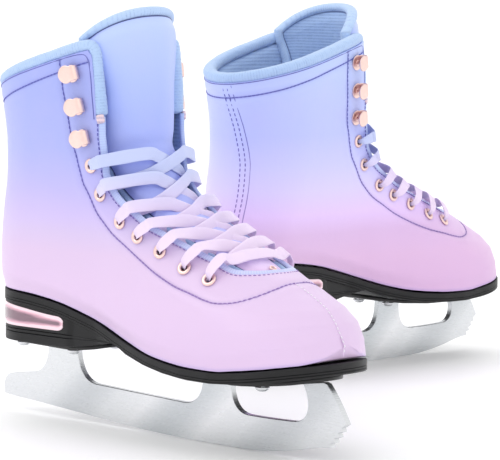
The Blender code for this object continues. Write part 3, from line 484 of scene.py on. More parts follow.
class Mat:
    """A Principled material with short calls for its nodes."""

    def __init__(self, name, **sockets):
        self.m = bpy.data.materials.new(name)
        self.m.use_nodes = True
        self.t = self.m.node_tree
        self.b = self.t.nodes["Principled BSDF"]
        for k, v in sockets.items():
            self.b.inputs[k.replace("_", " ")].default_value = v

    def feed(self, socket, v):
        if isinstance(v, bpy.types.NodeSocket):
            self.t.links.new(v, socket)
        else:
            socket.default_value = v

    def nd(self, kind, ins=None, **props):
        n = self.t.nodes.new("ShaderNode" + kind)
        for k, v in props.items():
            setattr(n, k, v)
        for k, v in (ins or {}).items():
            self.feed(n.inputs[k], v)
        return n

    def attr(self, name):
        n = self.nd("Attribute", attribute_name=name)
        return n.outputs["Fac"] if name == "tone" else n.outputs["Vector"]

    def axis(self, vec, i):
        return self.nd("SeparateXYZ", {0: vec}).outputs[i]

    def math(self, op, a, b=0.0, c=0.0, clamp=False):
        return self.nd("Math", {0: a, 1: b, 2: c}, operation=op, use_clamp=clamp).outputs[0]

    def scale(self, vec, xyz):
        return self.nd("VectorMath", {0: vec, 1: xyz}, operation="MULTIPLY").outputs[0]

    def noise(self, vec, scale, detail=3.0, rough=0.5):
        n = self.nd("TexNoise", {"Vector": vec, "Scale": scale, "Detail": detail, "Roughness": rough})
        return n.outputs["Fac"]

    def cells(self, vec, scale):
        n = self.nd("TexVoronoi", {"Vector": vec, "Scale": scale}, feature="DISTANCE_TO_EDGE")
        return n.outputs["Distance"]

    def ramp(self, fac, stops):
        n = self.nd("ValToRGB", {"Fac": fac})
        r = n.color_ramp
        while len(r.elements) < len(stops):
            r.elements.new(0.5)
        for e, (x, c) in zip(r.elements, stops):
            e.position = x
            e.color = c if len(c) == 4 else (c[0], c[1], c[2], 1)
        return n.outputs["Color"]

    def mix(self, fac, a, b):
        n = self.nd("Mix", {0: fac, 6: a, 7: b}, data_type="RGBA")
        return n.outputs[2]

    def twist(self):
        """Plies of a thread, from its tex coordinates."""
        tex = self.attr("tex")
        turn = self.math("MULTIPLY", self.axis(tex, 1), 6000.0)
        return self.math("SINE", self.math("MULTIPLY_ADD", self.axis(tex, 0), 7000.0, turn))

    def color(self, c):
        self.t.links.new(c, self.b.inputs["Base Color"])

    def rough(self, fac, lo, hi):
        n = self.nd("MapRange", {"Value": fac, "To Min": lo, "To Max": hi})
        self.t.links.new(n.outputs[0], self.b.inputs["Roughness"])

    def bump(self, *layers):
        """Layers are (height, strength, distance in metres)."""
        prev = None
        for h, strength, dist in layers:
            ins = {"Height": h, "Strength": strength, "Distance": dist}
            if prev is not None:
                ins["Normal"] = prev
            prev = self.nd("Bump", ins).outputs["Normal"]
        self.t.links.new(prev, self.b.inputs["Normal"])


def height_ramp(mt, stops):
    """Colour by height over the floor; stops are (mm, colour)."""
    lo, hi, wobble = 0.04, 0.25, 0.004
    loc = mt.attr("loc")
    n = mt.noise(loc, 9.0, 2.0)
    z = mt.math("ADD", mt.axis(loc, 2), mt.math("MULTIPLY", mt.math("SUBTRACT", n, 0.5), wobble))
    fac = mt.nd("MapRange", {"Value": z, "From Min": lo, "From Max": hi}).outputs[0]
    return loc, mt.ramp(fac, [((v * MM - lo) / (hi - lo), lin(c)) for v, c in stops])


FRONT = [(50, (218, 191, 225)), (85, (219, 193, 226)), (107, (216, 192, 225)), (119, (207, 189, 227)),
         (130, (199, 184, 233)), (142, (187, 179, 235)), (154, (177, 176, 236)), (168, (166, 173, 234)),
         (195, (161, 171, 235)), (213, (158, 169, 234)), (245, (154, 166, 232))]
REAR = [(50, (216, 177, 218)), (80, (221, 183, 222)), (98, (217, 183, 226)), (112, (227, 199, 249)),
        (128, (216, 205, 252)), (145, (201, 201, 252)), (165, (186, 194, 252)), (190, (186, 197, 252)),
        (215, (186, 203, 252)), (245, (184, 198, 252))]


def leather(name, stops, gloss=0.42):
    mt = Mat(name, Roughness=gloss, Coat_Weight=0.12, Coat_Roughness=0.35, Sheen_Weight=0.06,
             Sheen_Roughness=0.5)
    loc, col = height_ramp(mt, stops)
    blotch = mt.noise(loc, 55.0, 4.0, 0.6)
    col = mt.mix(mt.math("MULTIPLY", mt.math("SUBTRACT", blotch, 0.45, clamp=True), 0.22),
                 col, lin((214, 190, 236)))
    # painted shade: the tone attribute darkens the leather towards blue-violet where the mesh marks shade
    tone = mt.attr("tone")
    col = mt.mix(tone, col, lin((120, 118, 196)))
    mt.color(col)
    grain = mt.cells(loc, 1150.0)
    fine = mt.noise(loc, 2600.0, 2.0)
    soft = mt.noise(loc, 85.0, 3.0)
    mt.rough(mt.noise(loc, 420.0, 3.0), gloss - 0.07, gloss + 0.09)
    mt.bump((soft, 0.25, 0.0011), (mt.math("MINIMUM", grain, 0.16), 0.45, 0.0004), (fine, 0.12, 0.00012))
    return mt.m


def fabric(name, stops, rib=(0, 0, 700.0), fuzz=0.6, bumpy=0.00035, tint=(96, 118, 176)):
    """Brushed knit: fine ribs along one axis of tex, a little fuzz and uneven dye."""
    mt = Mat(name, Roughness=0.95, Sheen_Weight=0.35, Sheen_Roughness=0.45)
    loc, col = height_ramp(mt, stops)
    tex = mt.attr("tex")
    d = mt.scale(tex, rib)
    s = mt.math("ADD", mt.math("ADD", mt.axis(d, 0), mt.axis(d, 1)), mt.axis(d, 2))
    wave = mt.math("SINE", s)
    knit = mt.noise(loc, 1500.0, 3.0, 0.7)
    clump = mt.noise(loc, 260.0, 4.0, 0.65)
    h = mt.math("MULTIPLY_ADD", wave, 0.25, mt.math("ADD", knit, mt.math("MULTIPLY", clump, fuzz)))
    dark = mt.math("MULTIPLY", mt.math("SUBTRACT", 0.95, h, clamp=True), 0.75)
    col = mt.mix(dark, col, lin(tint))
    # painted shade: the tone attribute darkens the fabric towards navy where the mesh marks shade (the
    # groove inside the tongue's plush roll)
    col = mt.mix(mt.attr("tone"), col, lin((44, 58, 118)))
    mt.color(col)
    mt.bump((clump, 0.4, 0.0008), (h, 0.6, bumpy))
    return mt.m


def lace_mat(name, stops):
    mt = Mat(name, Roughness=0.72, Sheen_Weight=0.25, Sheen_Roughness=0.4)
    loc, col = height_ramp(mt, stops)
    tex = mt.attr("tex")
    x, y = mt.axis(tex, 0), mt.axis(tex, 1)
    weft = mt.math("SINE", mt.math("MULTIPLY", x, 9500.0))
    chev = mt.math("SINE", mt.math("MULTIPLY_ADD", mt.math("ABSOLUTE", y), 7600.0,
                                   mt.math("MULTIPLY", x, 5200.0)))
    warp = mt.math("SINE", mt.math("MULTIPLY", y, 11000.0))
    h = mt.math("ADD", mt.math("MULTIPLY", weft, 0.3), mt.math("ADD", mt.math("MULTIPLY", chev, 0.5), warp))
    fuzz = mt.noise(loc, 1900.0, 3.0)
    dark = mt.math("MULTIPLY_ADD", h, -0.035, 0.045, clamp=True)
    col = mt.mix(dark, col, lin((126, 112, 190)))
    # painted shade: the tone attribute darkens the lace where it goes down into the eyelets, passes under
    # the flaps and along its underside
    col = mt.mix(mt.attr("tone"), col, lin((86, 80, 160)))
    mt.color(col)
    mt.bump((h, 0.5, 0.00018), (fuzz, 0.25, 0.00018))
    return mt.m


def thread(name, rgb, dark=0.35):
    mt = Mat(name, Roughness=0.6, Sheen_Weight=0.15)
    ply = mt.twist()
    col = mt.mix(mt.math("MULTIPLY_ADD", ply, -dark / 2, dark / 2), lin(rgb),
                 lin(tuple(c * 0.62 for c in rgb)))
    mt.color(col)
    mt.bump((ply, 0.5, 0.00012))
    return mt.m


def thread_by_height(name, stops):
    mt = Mat(name, Roughness=0.6)
    _, col = height_ramp(mt, stops)
    ply = mt.twist()
    mt.color(mt.mix(mt.math("MULTIPLY_ADD", ply, -0.15, 0.15), col, lin((70, 60, 130))))
    mt.bump((ply, 0.5, 0.00012))
    return mt.m


def metal(name, rgb, rough, scratch=0.15, dull=(110, 88, 86)):
    mt = Mat(name, Metallic=1.0, Roughness=rough)
    loc = mt.attr("loc")
    n = mt.noise(loc, 380.0, 5.0, 0.7)
    wear = mt.ramp(n, [(0.42, (0, 0, 0)), (0.72, (1, 1, 1))])
    col = mt.mix(mt.math("MULTIPLY", wear, scratch), lin(rgb), lin(dull))
    mt.color(col)
    mt.rough(n, rough - 0.05, rough + 0.14)
    mt.bump((mt.noise(loc, 3200.0, 2.0), 0.05, 0.00003))
    return mt.m


def satin_black(name, base=(30, 30, 33), rough=0.42, grain=1300.0, spec=0.5):
    mt = Mat(name, Roughness=rough, Specular_IOR_Level=spec)
    loc = mt.attr("loc")
    scuff = mt.noise(mt.scale(loc, (0.4, 1.0, 2.2)), 120.0, 6.0, 0.72)
    dust = mt.ramp(scuff, [(0.5, (0, 0, 0)), (0.78, (1, 1, 1))])
    col = mt.mix(mt.math("MULTIPLY", dust, 0.18), lin(base), lin((60, 60, 66)))
    mt.color(col)
    mt.rough(scuff, rough - 0.1, rough + 0.2)
    mt.bump((mt.noise(loc, grain, 3.0), 0.12, 0.0002))
    return mt.m


def blade_mat():
    mt = Mat("blade_steel", Metallic=1.0, Roughness=0.24)
    loc = mt.attr("loc")
    brush = mt.noise(mt.scale(loc, (60.0, 1.0, 2400.0)), 1.0, 5.0, 0.75)
    lines = mt.noise(mt.scale(loc, (25.0, 1.0, 700.0)), 1.0, 3.0, 0.6)
    # painted reflections: light and dark diagonal bands across the steel, from noise along a slanted
    # coordinate
    band = mt.math("ADD", mt.axis(loc, 0), mt.math("MULTIPLY", mt.axis(loc, 2), -1.15))
    w = mt.noise(mt.nd("CombineXYZ", {0: band}).outputs[0], 11.0, 0.0)
    shade = mt.ramp(w, [(0.30, lin((176, 180, 184))), (0.44, lin((218, 220, 222))),
                        (0.60, lin((229, 230, 232))),
                        (0.74, lin((198, 202, 205)))])
    col = mt.mix(mt.math("MULTIPLY", lines, 0.16), shade, lin((176, 180, 186)))
    mt.color(col)
    mt.rough(brush, 0.17, 0.40)
    mt.bump((brush, 0.10, 0.00012))
    return mt.m


def window_mat():
    mt = Mat("heel_window_clear", Roughness=0.12, Coat_Weight=0.8, Coat_Roughness=0.05, IOR=1.49,
             Specular_IOR_Level=0.6)
    loc = mt.attr("loc")
    z = mt.axis(loc, 2)
    streak = mt.noise(mt.scale(loc, (36.0, 50.0, 330.0)), 1.0, 4.0, 0.65)
    core = mt.attr("tone")
    f = mt.math("ADD", core, mt.math("MULTIPLY", mt.math("SUBTRACT", streak, 0.5), 0.9))
    col = mt.ramp(f, [(0.02, lin((244, 216, 226))), (0.26, lin((222, 168, 186))),
                      (0.62, lin((176, 132, 150))),
                      (0.9, lin((120, 88, 104)))])
    mt.color(col)
    mt.bump((mt.noise(mt.scale(loc, (60.0, 60.0, 200.0)), 1.0, 2.0), 0.25, 0.0008))
    return mt.m


LILAC = [(40, (250, 226, 252)), (100, (250, 228, 254)), (120, (248, 228, 254)), (136, (240, 224, 255)),
         (148, (222, 220, 255)), (158, (206, 216, 254)), (190, (200, 212, 254))]
TONGUE = [(94, (238, 192, 220)), (104, (226, 194, 232)), (116, (196, 190, 244)), (130, (172, 180, 244)),
          (150, (162, 174, 243)), (190, (166, 182, 247)), (235, (180, 198, 250)), (252, (190, 208, 252))]
PLUSH = [(60, (158, 180, 218)), (150, (164, 188, 226)), (200, (172, 198, 236)), (250, (182, 206, 240))]
M = {
    "right": leather("upper_leather_right", FRONT),
    "left": leather("upper_leather_left", REAR),
    "tongue": leather("tongue_leather", TONGUE, 0.40),
    "lining": fabric("lining_plush", PLUSH, rib=(0, 0, 2600.0)),
    "plush": fabric("collar_plush", PLUSH, rib=(3600.0, 0, 0), fuzz=1.1, bumpy=0.0003),
    "knit": fabric("tongue_knit", [(60, (150, 172, 214)), (150, (158, 184, 226)), (250, (176, 202, 240))],
                   rib=(0, 0, 3000.0)),
    "tape": fabric("edge_tape", [(60, (206, 206, 244)), (110, (204, 208, 246)), (150, (190, 204, 246)),
                                 (200, (176, 200, 244))], rib=(4200.0, 0, 0), fuzz=0.2, bumpy=0.00012,
                                 tint=(168, 178, 226)),
    "lace": lace_mat("lace_cord", LILAC),
    "navy": thread("thread_navy", (62, 74, 140)),
    "blue": thread("thread_blue", (108, 112, 196)),
    "thread": thread_by_height("thread_seams", [(60, (170, 132, 186)), (120, (152, 128, 200)),
                                                (160, (116, 116, 200)), (240, (98, 108, 196))]),
    "groove": thread_by_height("seam_groove", [(60, (196, 162, 208)), (120, (170, 150, 214)),
                                               (160, (136, 138, 214)), (240, (120, 130, 212))]),
    "tab": fabric("flap_tab", [(60, (240, 214, 220)), (250, (240, 214, 220))], rib=(0, 0, 2400.0),
                  fuzz=0.3),
    "white": thread("thread_pale", (244, 236, 250), 0.2),
    "gold": metal("rose_gold", (244, 214, 206), 0.30, 0.06),
    "steel": metal("screw_steel", (226, 227, 230), 0.2, dull=(120, 120, 126)),
    "dark": satin_black("eyelet_dark", (26, 24, 40), 0.7),
    "sole": satin_black("sole_black", (15, 15, 17), 0.42, spec=0.35),
    "plate": satin_black("plate_black", (14, 14, 16), 0.34, 500.0),
    "blade": blade_mat(),
    "window": window_mat(),
    "bed": fabric("footbed", [(60, (150, 170, 214)), (120, (150, 170, 214))], rib=(1500.0, 0, 0)),
}


# ------------------------------------------------------------------ seams
EYESTAY = [(0.34, 28.0, "d"), (0.49, 28.4, "d"), (1.21, 28.6, "d"), (1.87, 27.0, "d"), (2.58, 25.4, "d"),
           (3.24, 23.0, "d"), (3.68, 22.0, "d"), (4.62, 20.5, "d"), (5.66, 22.5, "d"), (6.76, 24.6, "d"),
           (8.4, 27.0, "d"), (10.12, 28.4, "d"), (12.65, 25.9, "d"), (13.86, 25.0, "d"), (15.0, 48.6, "s"),
           (15.67, 46.0, "s"), (16.44, 39.1, "s"), (16.94, 29.9, "s"), (17.27, 19.0, "s"),
           (17.43, 5.9, "s"),
           (17.45, 2.0, "s"),
           (17.455, 0.7, "s")]
COLLAR = [(0.64, 8.0, "d"), (0.66, 20.0, "d"), (0.70, 35.0, "d"), (0.74, 50.0, "d"), (0.80, 70.0, "d"),
          (0.85, 90.0, "d"), (0.88, 0.0, "end")]
BACK = [(0.40, 3.0), (1.0, 5.0), (1.7, 8.5), (2.4, 11.8), (3.1, 14.2), (3.9, 15.2), (4.7, 15.0),
        (5.5, 13.2),
        (6.8, 9.8)]
FULL_CURVE = 14


def seam(points):
    """Dense (k, arc) rows of a seam given by flap distance, arc, or arc back from the rear middle."""
    rows = []
    for k, x, how in points:
        s = x if how == "s" else float(OUT.flap_at(k)) + x if how == "d" else float(OUT.total(k)) - x
        rows.append((k, s))
    return spline(rows, FULL_CURVE)


def seam_points(ks, sg, h=0.0):
    """3-D points and normals of (k, arc) rows, evenly spread."""
    p, n, _, _ = on(ks[:, 0], ks[:, 1] - OUT.flap_at(ks[:, 0]), h, sg)
    return p, n


EYESTAY_KS = seam(EYESTAY)
COLLAR_KS = seam(COLLAR)
BACK_ROWS = spline(BACK, 8)


def back_line(off, h=0.0):
    """The rear seam wanders across the back middle line: points and normals at an offset from it."""
    P, N = [], []
    for k, x in BACK_ROWS:
        x = x + off
        sg = 1.0 if x < 0 else -1.0
        p, n, _, _ = on(np.array(k), float(OUT.total(k) - OUT.flap_at(k)) - abs(x), h, sg)
        P.append(p)
        N.append(n)
    return np.array(P), unit(np.array(N))


TOE_KS = seam([(k, 4.4, "s") for k in (17.5, 18.2, 19, 20, 21, 22)])

EDGE_K = np.concatenate([np.linspace(BIND_END, 14.9, 200), 16 - np.linspace(1.04, 0.012, 60) ** 2])


def edge_curve():
    """Throat edge from the outer flap round the bottom to the inner flap: points, normals, outward."""
    p, n, _, _ = on(EDGE_K, 0.0)
    q, nq, _, _ = on(EDGE_K[::-1], 0.0, 0.0, -1.0)
    P = np.concatenate([p, q])
    N = np.concatenate([n, nq])
    P, _, N = resample(P, 1.2, N)
    for _ in range(6):
        N[1:-1] = (N[:-2] + N[1:-1] * 2 + N[2:]) / 4
    mid = slice(len(P) // 2 - 12, len(P) // 2 + 13)
    for _ in range(5):
        P[1:-1][mid] = ((P[:-2] + P[1:-1] * 2 + P[2:]) / 4)[mid]
    N = unit(N)
    T = unit(np.gradient(P, axis=0))
    O = unit(np.cross(T, N))
    O *= np.sign(np.sum(O[5] * (np.array([0, 1.0, 0]))))
    return P, N, O, T


EDGE_P, EDGE_N, EDGE_O, EDGE_T = edge_curve()


def stitches(P, N, pitch=2.9, length=2.25, r=0.34, lift=0.16, phase=0.5):
    """A row of thread stitches along a line: each dips into the leather at both ends."""
    Q, s, M = resample(P, 0.4, N)
    parts = []
    total = s[-1]
    count = int((total - length) / pitch)
    for i in range(count):
        c = (i + phase) * pitch + length / 2
        rings, tex = [], []
        for x, rr, dh in ((-0.5, 0.3, -0.38), (-0.42, 0.85, -0.08), (-0.15, 1.0, 0.05), (0.15, 1.0, 0.05),
                          (0.42, 0.85, -0.08), (0.5, 0.3, -0.38)):
            a = c + x * length
            p = np.array([np.interp(a, s, Q[:, j]) for j in range(3)])
            n = unit(np.array([np.interp(a, s, M[:, j]) for j in range(3)]))
            t = np.array([np.interp(a + 0.3, s, Q[:, j]) - np.interp(a - 0.3, s, Q[:, j])
                          for j in range(3)])
            w = unit(np.cross(unit(t), n))
            ang = np.arange(6) * math.pi / 3
            rings.append(p + n * (lift + dh) + r * rr
                         * (np.cos(ang)[:, None] * w * 1.15 + np.sin(ang)[:, None] * n))
            tex += [(x * length, math.cos(g), 0) for g in ang]
        V, F = sweep(rings)
        parts.append((V, F, 0, tex))
    return parts


def cordage(P, N, r_w, r_h, sides=8, step=1.2, m=0, lift=0.0):
    """A thin round or flat line laid along a path."""
    Q, s, M = resample(P, step, N)
    T = unit(np.gradient(Q, axis=0))
    W = unit(np.cross(T, unit(M)))
    H = unit(np.cross(W, T))
    ang = np.arange(sides) * 2 * math.pi / sides
    wide, high = r_w * np.cos(ang), r_h * np.sin(ang)
    V, F = sweep(rings_at(Q + lift * H, wide[None], W, high[None], H))
    tex = np.stack([np.repeat(s, sides), np.tile(wide, len(s)), np.zeros(len(V))], 1)
    return V, F, m, tex


# ------------------------------------------------------------------ leather upper
SEAM_SETS = [EYESTAY_KS, COLLAR_KS]
HOLE_R = 2.55


def rim_setback(k):
    """How far the leather starts from the flap edge: it runs under the plush binding."""
    top = 7.0 - 1.9 * sm((k - 0.30) / 0.2)
    return top * (1 - sm((k - BIND_END + 0.06) / 0.1))


def spread(step, lo, hi):
    """Section indices about evenly spaced along the front rail."""
    kk = np.linspace(lo, hi, 1200)
    b = np.stack([hermite(kk, np.arange(NK), B_U), hermite(kk, np.arange(NK), B_V)], 1)
    arc = arc_of(b)
    return np.interp(np.linspace(0, arc[-1], int(arc[-1] / step) + 1), arc, kk)


def upper(side):
    """Leather shell: quarters, vamp and eyestay, with the lacing holes open."""
    rows = np.unique(np.round(np.concatenate([
        spread(1.7, 0.30, 22.0), [2.24, 2.28, 2.31, 2.35], 16
        - np.array([0.9, 0.6, 0.4, 0.25, 0.14, 0.07, 0.03]),
        [16.0]]), 3))
    keep = [rows[0]]
    for r in rows[1:]:
        if r - keep[-1] > 0.028 or r == THROAT_END:
            keep.append(r)
    rows = np.array(keep)
    near = np.concatenate([[0, 0.7], np.arange(1.6, 32, 1.3)])
    n_rest, n_base = 40, 3
    H = len(near) + n_rest - 1
    half_s = []
    for k in rows:
        tot = float(OUT.total(k))
        s1 = np.minimum(float(OUT.flap_at(k)) + rim_setback(k) + near, tot * 0.9)
        half_s.append(np.concatenate([s1, np.linspace(s1[-1], tot, n_rest + 1)[1:]]))
    S = np.array(half_s)
    Kg = np.repeat(rows[:, None], S.shape[1], 1)
    dist = S - OUT.flap_at(rows)[:, None]
    P0, N0, _, _ = on(Kg, dist, 0.0, 1.0)
    # relief: seams pull the leather in, panels between them stand a little proud
    d = np.full(P0.shape[:2], 99.0)
    for ks in SEAM_SETS:
        sp, _ = seam_points(ks, 1.0)
        sp = resample(sp, 1.0)[0]
        flat = P0.reshape(-1, 3)
        best = np.full(len(flat), 99.0)
        for c in range(0, len(flat), 4000):
            best[c:c + 4000] = np.sqrt(((flat[c:c + 4000, None] - sp[None]) ** 2).sum(2)).min(1)
        d = np.minimum(d, best.reshape(d.shape))
    relief = -0.5 * np.exp(-(d / 1.5) ** 2) + 0.28 * np.exp(-((d - 4.2) / 2.6) ** 2)
    wav = noise1(P0[..., 0] / 17.0, 3, 2) * noise1(P0[..., 2] / 15.0, 5, 2)
    relief = relief + 0.16 * wav
    relief = relief - 0.35 * np.exp(-(dist / 2.5) ** 2) * (Kg > 2.35) * (Kg < 16)
    ring_d = np.full(d.shape, 99.0)
    for k in EYE_K:
        c, _, _, _ = on(np.array(k), EYE_DIST)
        ring_d = np.minimum(ring_d, np.linalg.norm(P0 - c, axis=2))
    relief = relief - 0.35 * np.exp(-(ring_d / 5.0) ** 2)
    skirt = 0.9 * sm(k_low(Kg, S) / 4.0)
    outer_h, inner = [], []
    for sg in (1.0, -1.0):
        p, n, _, _ = on(Kg, dist, relief, sg)
        q, _, _, _ = on(Kg, dist, -LEATHER, sg)
        outer_h.append(p)
        inner.append(q)
    # painted shade: darker along the seams (kept off the lowest 4 mm of wall by skirt), in a ring at the
    # edge of each eyelet flange, and along the foot of the upper above the sole
    painted_shade_h = 0.30 * np.exp(-(d / 0.9) ** 2) * skirt + 0.22 * np.exp(-((ring_d - 4.3) / 1.2) ** 2)
    painted_shade_h = painted_shade_h + 0.35 * np.exp(-(k_low(Kg, S) / 1.6) ** 2) * (Kg > 7)

    def full(pair, rise):
        """Rows round the heel from one flap edge to the other."""
        out = []
        for i, k in enumerate(rows):
            a, b = pair[0][i], pair[1][i]
            mid = (a[-1] + b[-1]) / 2
            base = [a[-1] + (mid - a[-1]) * t for t in (1 / 3, 2 / 3, 1.0)]
            back = [b[-1] + (mid - b[-1]) * t for t in (2 / 3, 1 / 3)]
            if rise and k > 7:
                base = [x + np.array([0, 0, rise]) for x in base]
                back = [x + np.array([0, 0, rise]) for x in back]
            out.append(np.concatenate([a, base, back, b[::-1]]))
        return np.array(out)

    O, I = full(outer_h, 0.0), full(inner, LEATHER)
    nc = O.shape[1]
    tone = np.concatenate([painted_shade_h, np.zeros((len(rows), 2 * n_base - 1)), painted_shade_h[:, ::-1]], 1)
    ids = np.arange(len(rows) * nc).reshape(len(rows), nc)
    for i, k in enumerate(rows):
        if k <= 7.0:
            ids[i, H:nc - H] = ids[i, H]
        if k >= THROAT_END:
            ids[i, nc - 1] = ids[i, 0]
            O[i, 0, 1] = O[i, -1, 1] = shift(O[i, 0, 0])
            if k > THROAT_END + 0.5:
                # the ridge of the plain outline is rounded off across the middle
                up = unit(N0[i, 4] * np.array([1, 0, 1]))
                ref, mid_y = (O[i, 4] + O[i, nc - 5]) / 2, shift(O[i, 4, 0])
                for j in range(4):
                    for c, sg in ((j, 1.0), (nc - 1 - j, -1.0)):
                        O[i, c] = ref + up * 0.10 * (1 - (j / 4) ** 2)
                        O[i, c, 1] = mid_y + sg * abs(O[i, 4, 1] - mid_y) * j / 4
                        I[i, c] = O[i, c] - up * LEATHER
    skip = set()
    for sg, flip in ((1.0, False), (-1.0, True)):
        for k in EYE_K:
            c, _, _, _ = on(np.array(k), EYE_DIST, 0.0, sg)
            cell = (O[:-1, :-1] + O[1:, :-1] + O[:-1, 1:] + O[1:, 1:]) / 4
            for i, j in np.argwhere(np.linalg.norm(cell - c, axis=2) < HOLE_R):
                skip.add((int(i), int(j)))
    F = grid_faces(len(rows), nc, skip, ids.ravel())
    # the toe end closes in a dome
    Vo, Vi = O.reshape(-1, 3), I.reshape(-1, 3)
    tip_o = np.array([TIP[0] + 1.6, shift(TIP[0]), TIP[1]])
    tip_i = tip_o - np.array([LEATHER, 0, 0])
    out_o, out_i = O[-1] - O[-4], I[-1] - I[-4]
    reach = (0.42 * np.linalg.norm(O[-1] - tip_o, axis=1) * sm((O[-1][:, 2] - 56.5) / 12))[:, None]
    last, ring_t = ids[-1], (0.16, 0.33, 0.50, 0.67, 0.84)
    tones = [tone.ravel()]
    for t in ring_t:
        new = len(Vo) + np.arange(nc)
        new[last == ids[-1][0]] = new[0]
        w = ((1 - t) ** 2, 2 * t * (1 - t), t * t)
        Vo = np.concatenate([Vo, w[0] * O[-1] + w[1] * (O[-1] + unit(out_o) * reach) + w[2] * tip_o])
        Vi = np.concatenate([Vi, w[0] * I[-1] + w[1] * (I[-1] + unit(out_i) * reach) + w[2] * tip_i])
        F += [[int(last[j]), int(last[j + 1]), int(new[j + 1]), int(new[j])] for j in range(nc - 1)]
        last = new
        tones.append(tone[-1] * (1 - t))
    tip = len(Vo)
    Vo, Vi = np.concatenate([Vo, [tip_o]]), np.concatenate([Vi, [tip_i]])
    F += [[int(last[j]), int(last[j + 1]), tip] for j in range(nc - 1)]
    V, F2, walls = thick(Vo, Vi, F)
    fm = [0] * len(F) + [1] * len(F) + [0] * len(walls)
    t = np.concatenate(tones + [[0.0]])
    V, F, used = compact(V, F2 + walls)
    piece(side, "upper", V, F, [M[side], M["lining"]], fmat=fm, tex=V,
          tone=np.concatenate([t, t * 0])[used], replaces=["upper"], sharp=50)


def k_low(k, s):
    """Distance up the wall from the feather line over the sole, in mm."""
    return np.where(k > 7.0, OUT.total(k) - s, 99.0)


def seams(side):
    """All thread on the upper: eyestay, collar, rear strip, throat edge and toe."""
    parts = []
    for sg in (1.0, -1.0):
        for ks in SEAM_SETS:
            p, n = seam_points(ks, sg)
            parts.append(cordage(p, n, 0.42, 0.16, 6, 1.4, 1, -0.28))
            parts += stitches(p, n, lift=-0.12)
    for off in (-1.8, 1.8):
        p, n = back_line(off)
        parts += stitches(p, n, pitch=3.4, length=2.5, lift=-0.02)
    p, n = back_line(5.2)
    parts.append(cordage(p, n, 0.34, 0.14, 6, 1.4, 1, -0.02))
    parts += stitches(EDGE_P + EDGE_O * 4.0, EDGE_N, pitch=2.7, length=1.9, r=0.30, lift=-0.02)
    V, F, fm, tex = join(parts)
    piece(side, "seam_thread", V, F, [M["thread"], M["groove"]], fmat=fm, tex=tex)
    parts = []
    p, n = seam_points(TOE_KS, 1.0)
    tail = np.array([(TIP[0] + 1.9, p[-1, 1], TIP[1]), (TIP[0] + 1.2, p[-1, 1], 61.0)])
    p = np.concatenate([p, tail])
    n = np.concatenate([n, [(1, 0, 0.1), (1, 0, 0)]])
    parts.append(cordage(p, n, 0.5, 0.16, 8, 1.3, 0, 0.02))
    parts += stitches(p, n, pitch=2.7, length=1.7, r=0.40, lift=0.3)
    V, F, fm, tex = join([(v, f, 0 if i == 0 else 1, t) for i, (v, f, _, t) in enumerate(parts)])
    piece(side, "toe_seam", V, F, [M[side], M["white"]], fmat=fm, tex=tex,
          tone=np.zeros(len(V)))


# ------------------------------------------------------------------ lining, binding, edge tape
def lining(side):
    """Padded inner boot: it rounds off at its rim and closes over the toes."""
    rows = np.concatenate([[0.30, 0.34, 0.40, 0.48, 0.6], spread(4.0, 0.75, 15.6), [16.0],
                           spread(4.0, 16.4, 21.3)])
    near = np.array([0, 0.6, 1.5, 3.0, 5.5, 9.0])
    O, I, closed = [], [], []
    for k in rows:
        if k < 3.2:
            sb = 9.8 - 3.8 * float(sm((k - 0.30) / 0.3))
        elif k < 3.6:
            sb = 6.0 + 13.5 * float(sm((k - 3.2) / 0.4))
        else:
            sb = 19.5 if k < 16 else max(0.0, 19.5 * (1 - (k - 16) / 2.4))
        tot = float(OUT.total(k))
        s = float(OUT.flap_at(k)) + sb + near
        s = np.concatenate([s, np.linspace(s[-1], tot, 27)[1:]])
        rim = np.minimum(s - s[0], (k - 0.30) * 17.0 if k < 2 else 99)
        x = np.clip(rim / 3.0, 0, 1)
        th = 0.12 + 0.88 * np.sqrt(1 - (1 - x) ** 2)
        if k >= 18.4:
            th = np.ones_like(th)
        a = IN_A.at(np.full(len(s), k), s * float(IN_A.total(k)) / tot)
        b = IN_B.at(np.full(len(s), k), s * float(IN_B.total(k)) / tot)
        puff = 0.25 * noise1(s / 9.0 + k * 2, 21, 2)
        b = a + (b - a) * th[:, None] + unit(b - a) * puff[:, None] * x[:, None]
        pair = []
        for p in (a, b):
            m = p * np.array([1, -1.0, 1])
            row = np.concatenate([p, [(p[-1] + m[-1]) / 2], m[::-1]])
            row[:, 1] += shift(row[:, 0])
            pair.append(row)
        O.append(pair[0])
        I.append(pair[1])
        closed.append(sb <= 0)
    O, I = np.array(O), np.array(I)
    nc = O.shape[1]
    H = (nc - 1) // 2
    ids = np.arange(len(rows) * nc).reshape(len(rows), nc)
    for i, k in enumerate(rows):
        if k <= 7.0:
            ids[i, H - 1:H + 2] = ids[i, H]
        if closed[i]:
            ids[i, nc - 1] = ids[i, 0]
    F = grid_faces(len(rows), nc, (), ids.ravel())
    Vo, Vi = O.reshape(-1, 3), I.reshape(-1, 3)
    tip = len(Vo)
    Vo = np.concatenate([Vo, [(TIP[0] - 4.0, shift(TIP[0]), TIP[1])]])
    Vi = np.concatenate([Vi, [(TIP[0] - 8.6, shift(TIP[0]), TIP[1])]])
    for j in range(nc - 1):
        if ids[-1][j] != ids[-1][j + 1]:
            F.append([int(ids[-1][j]), int(ids[-1][j + 1]), tip])
    V, F2, walls = thick(Vo, Vi, F)
    V, F, _ = compact(V, F2 + walls)
    ob = piece(side, "lining", V, F, M["lining"], tex=V, tone=np.zeros(len(V)),
               replaces=["lining"])
    return ob


BIND_SPEC = [(2.30, 2.6), (2.0, 2.8), (1.6, 3.0), (1.2, 3.0), (0.62, 3.0), (0.38, 3.3), (0.22, 4.9),
             (0.155, 8.0), (0.145, 14.0)]
BIND_A, BIND_B = 4.5, 3.6


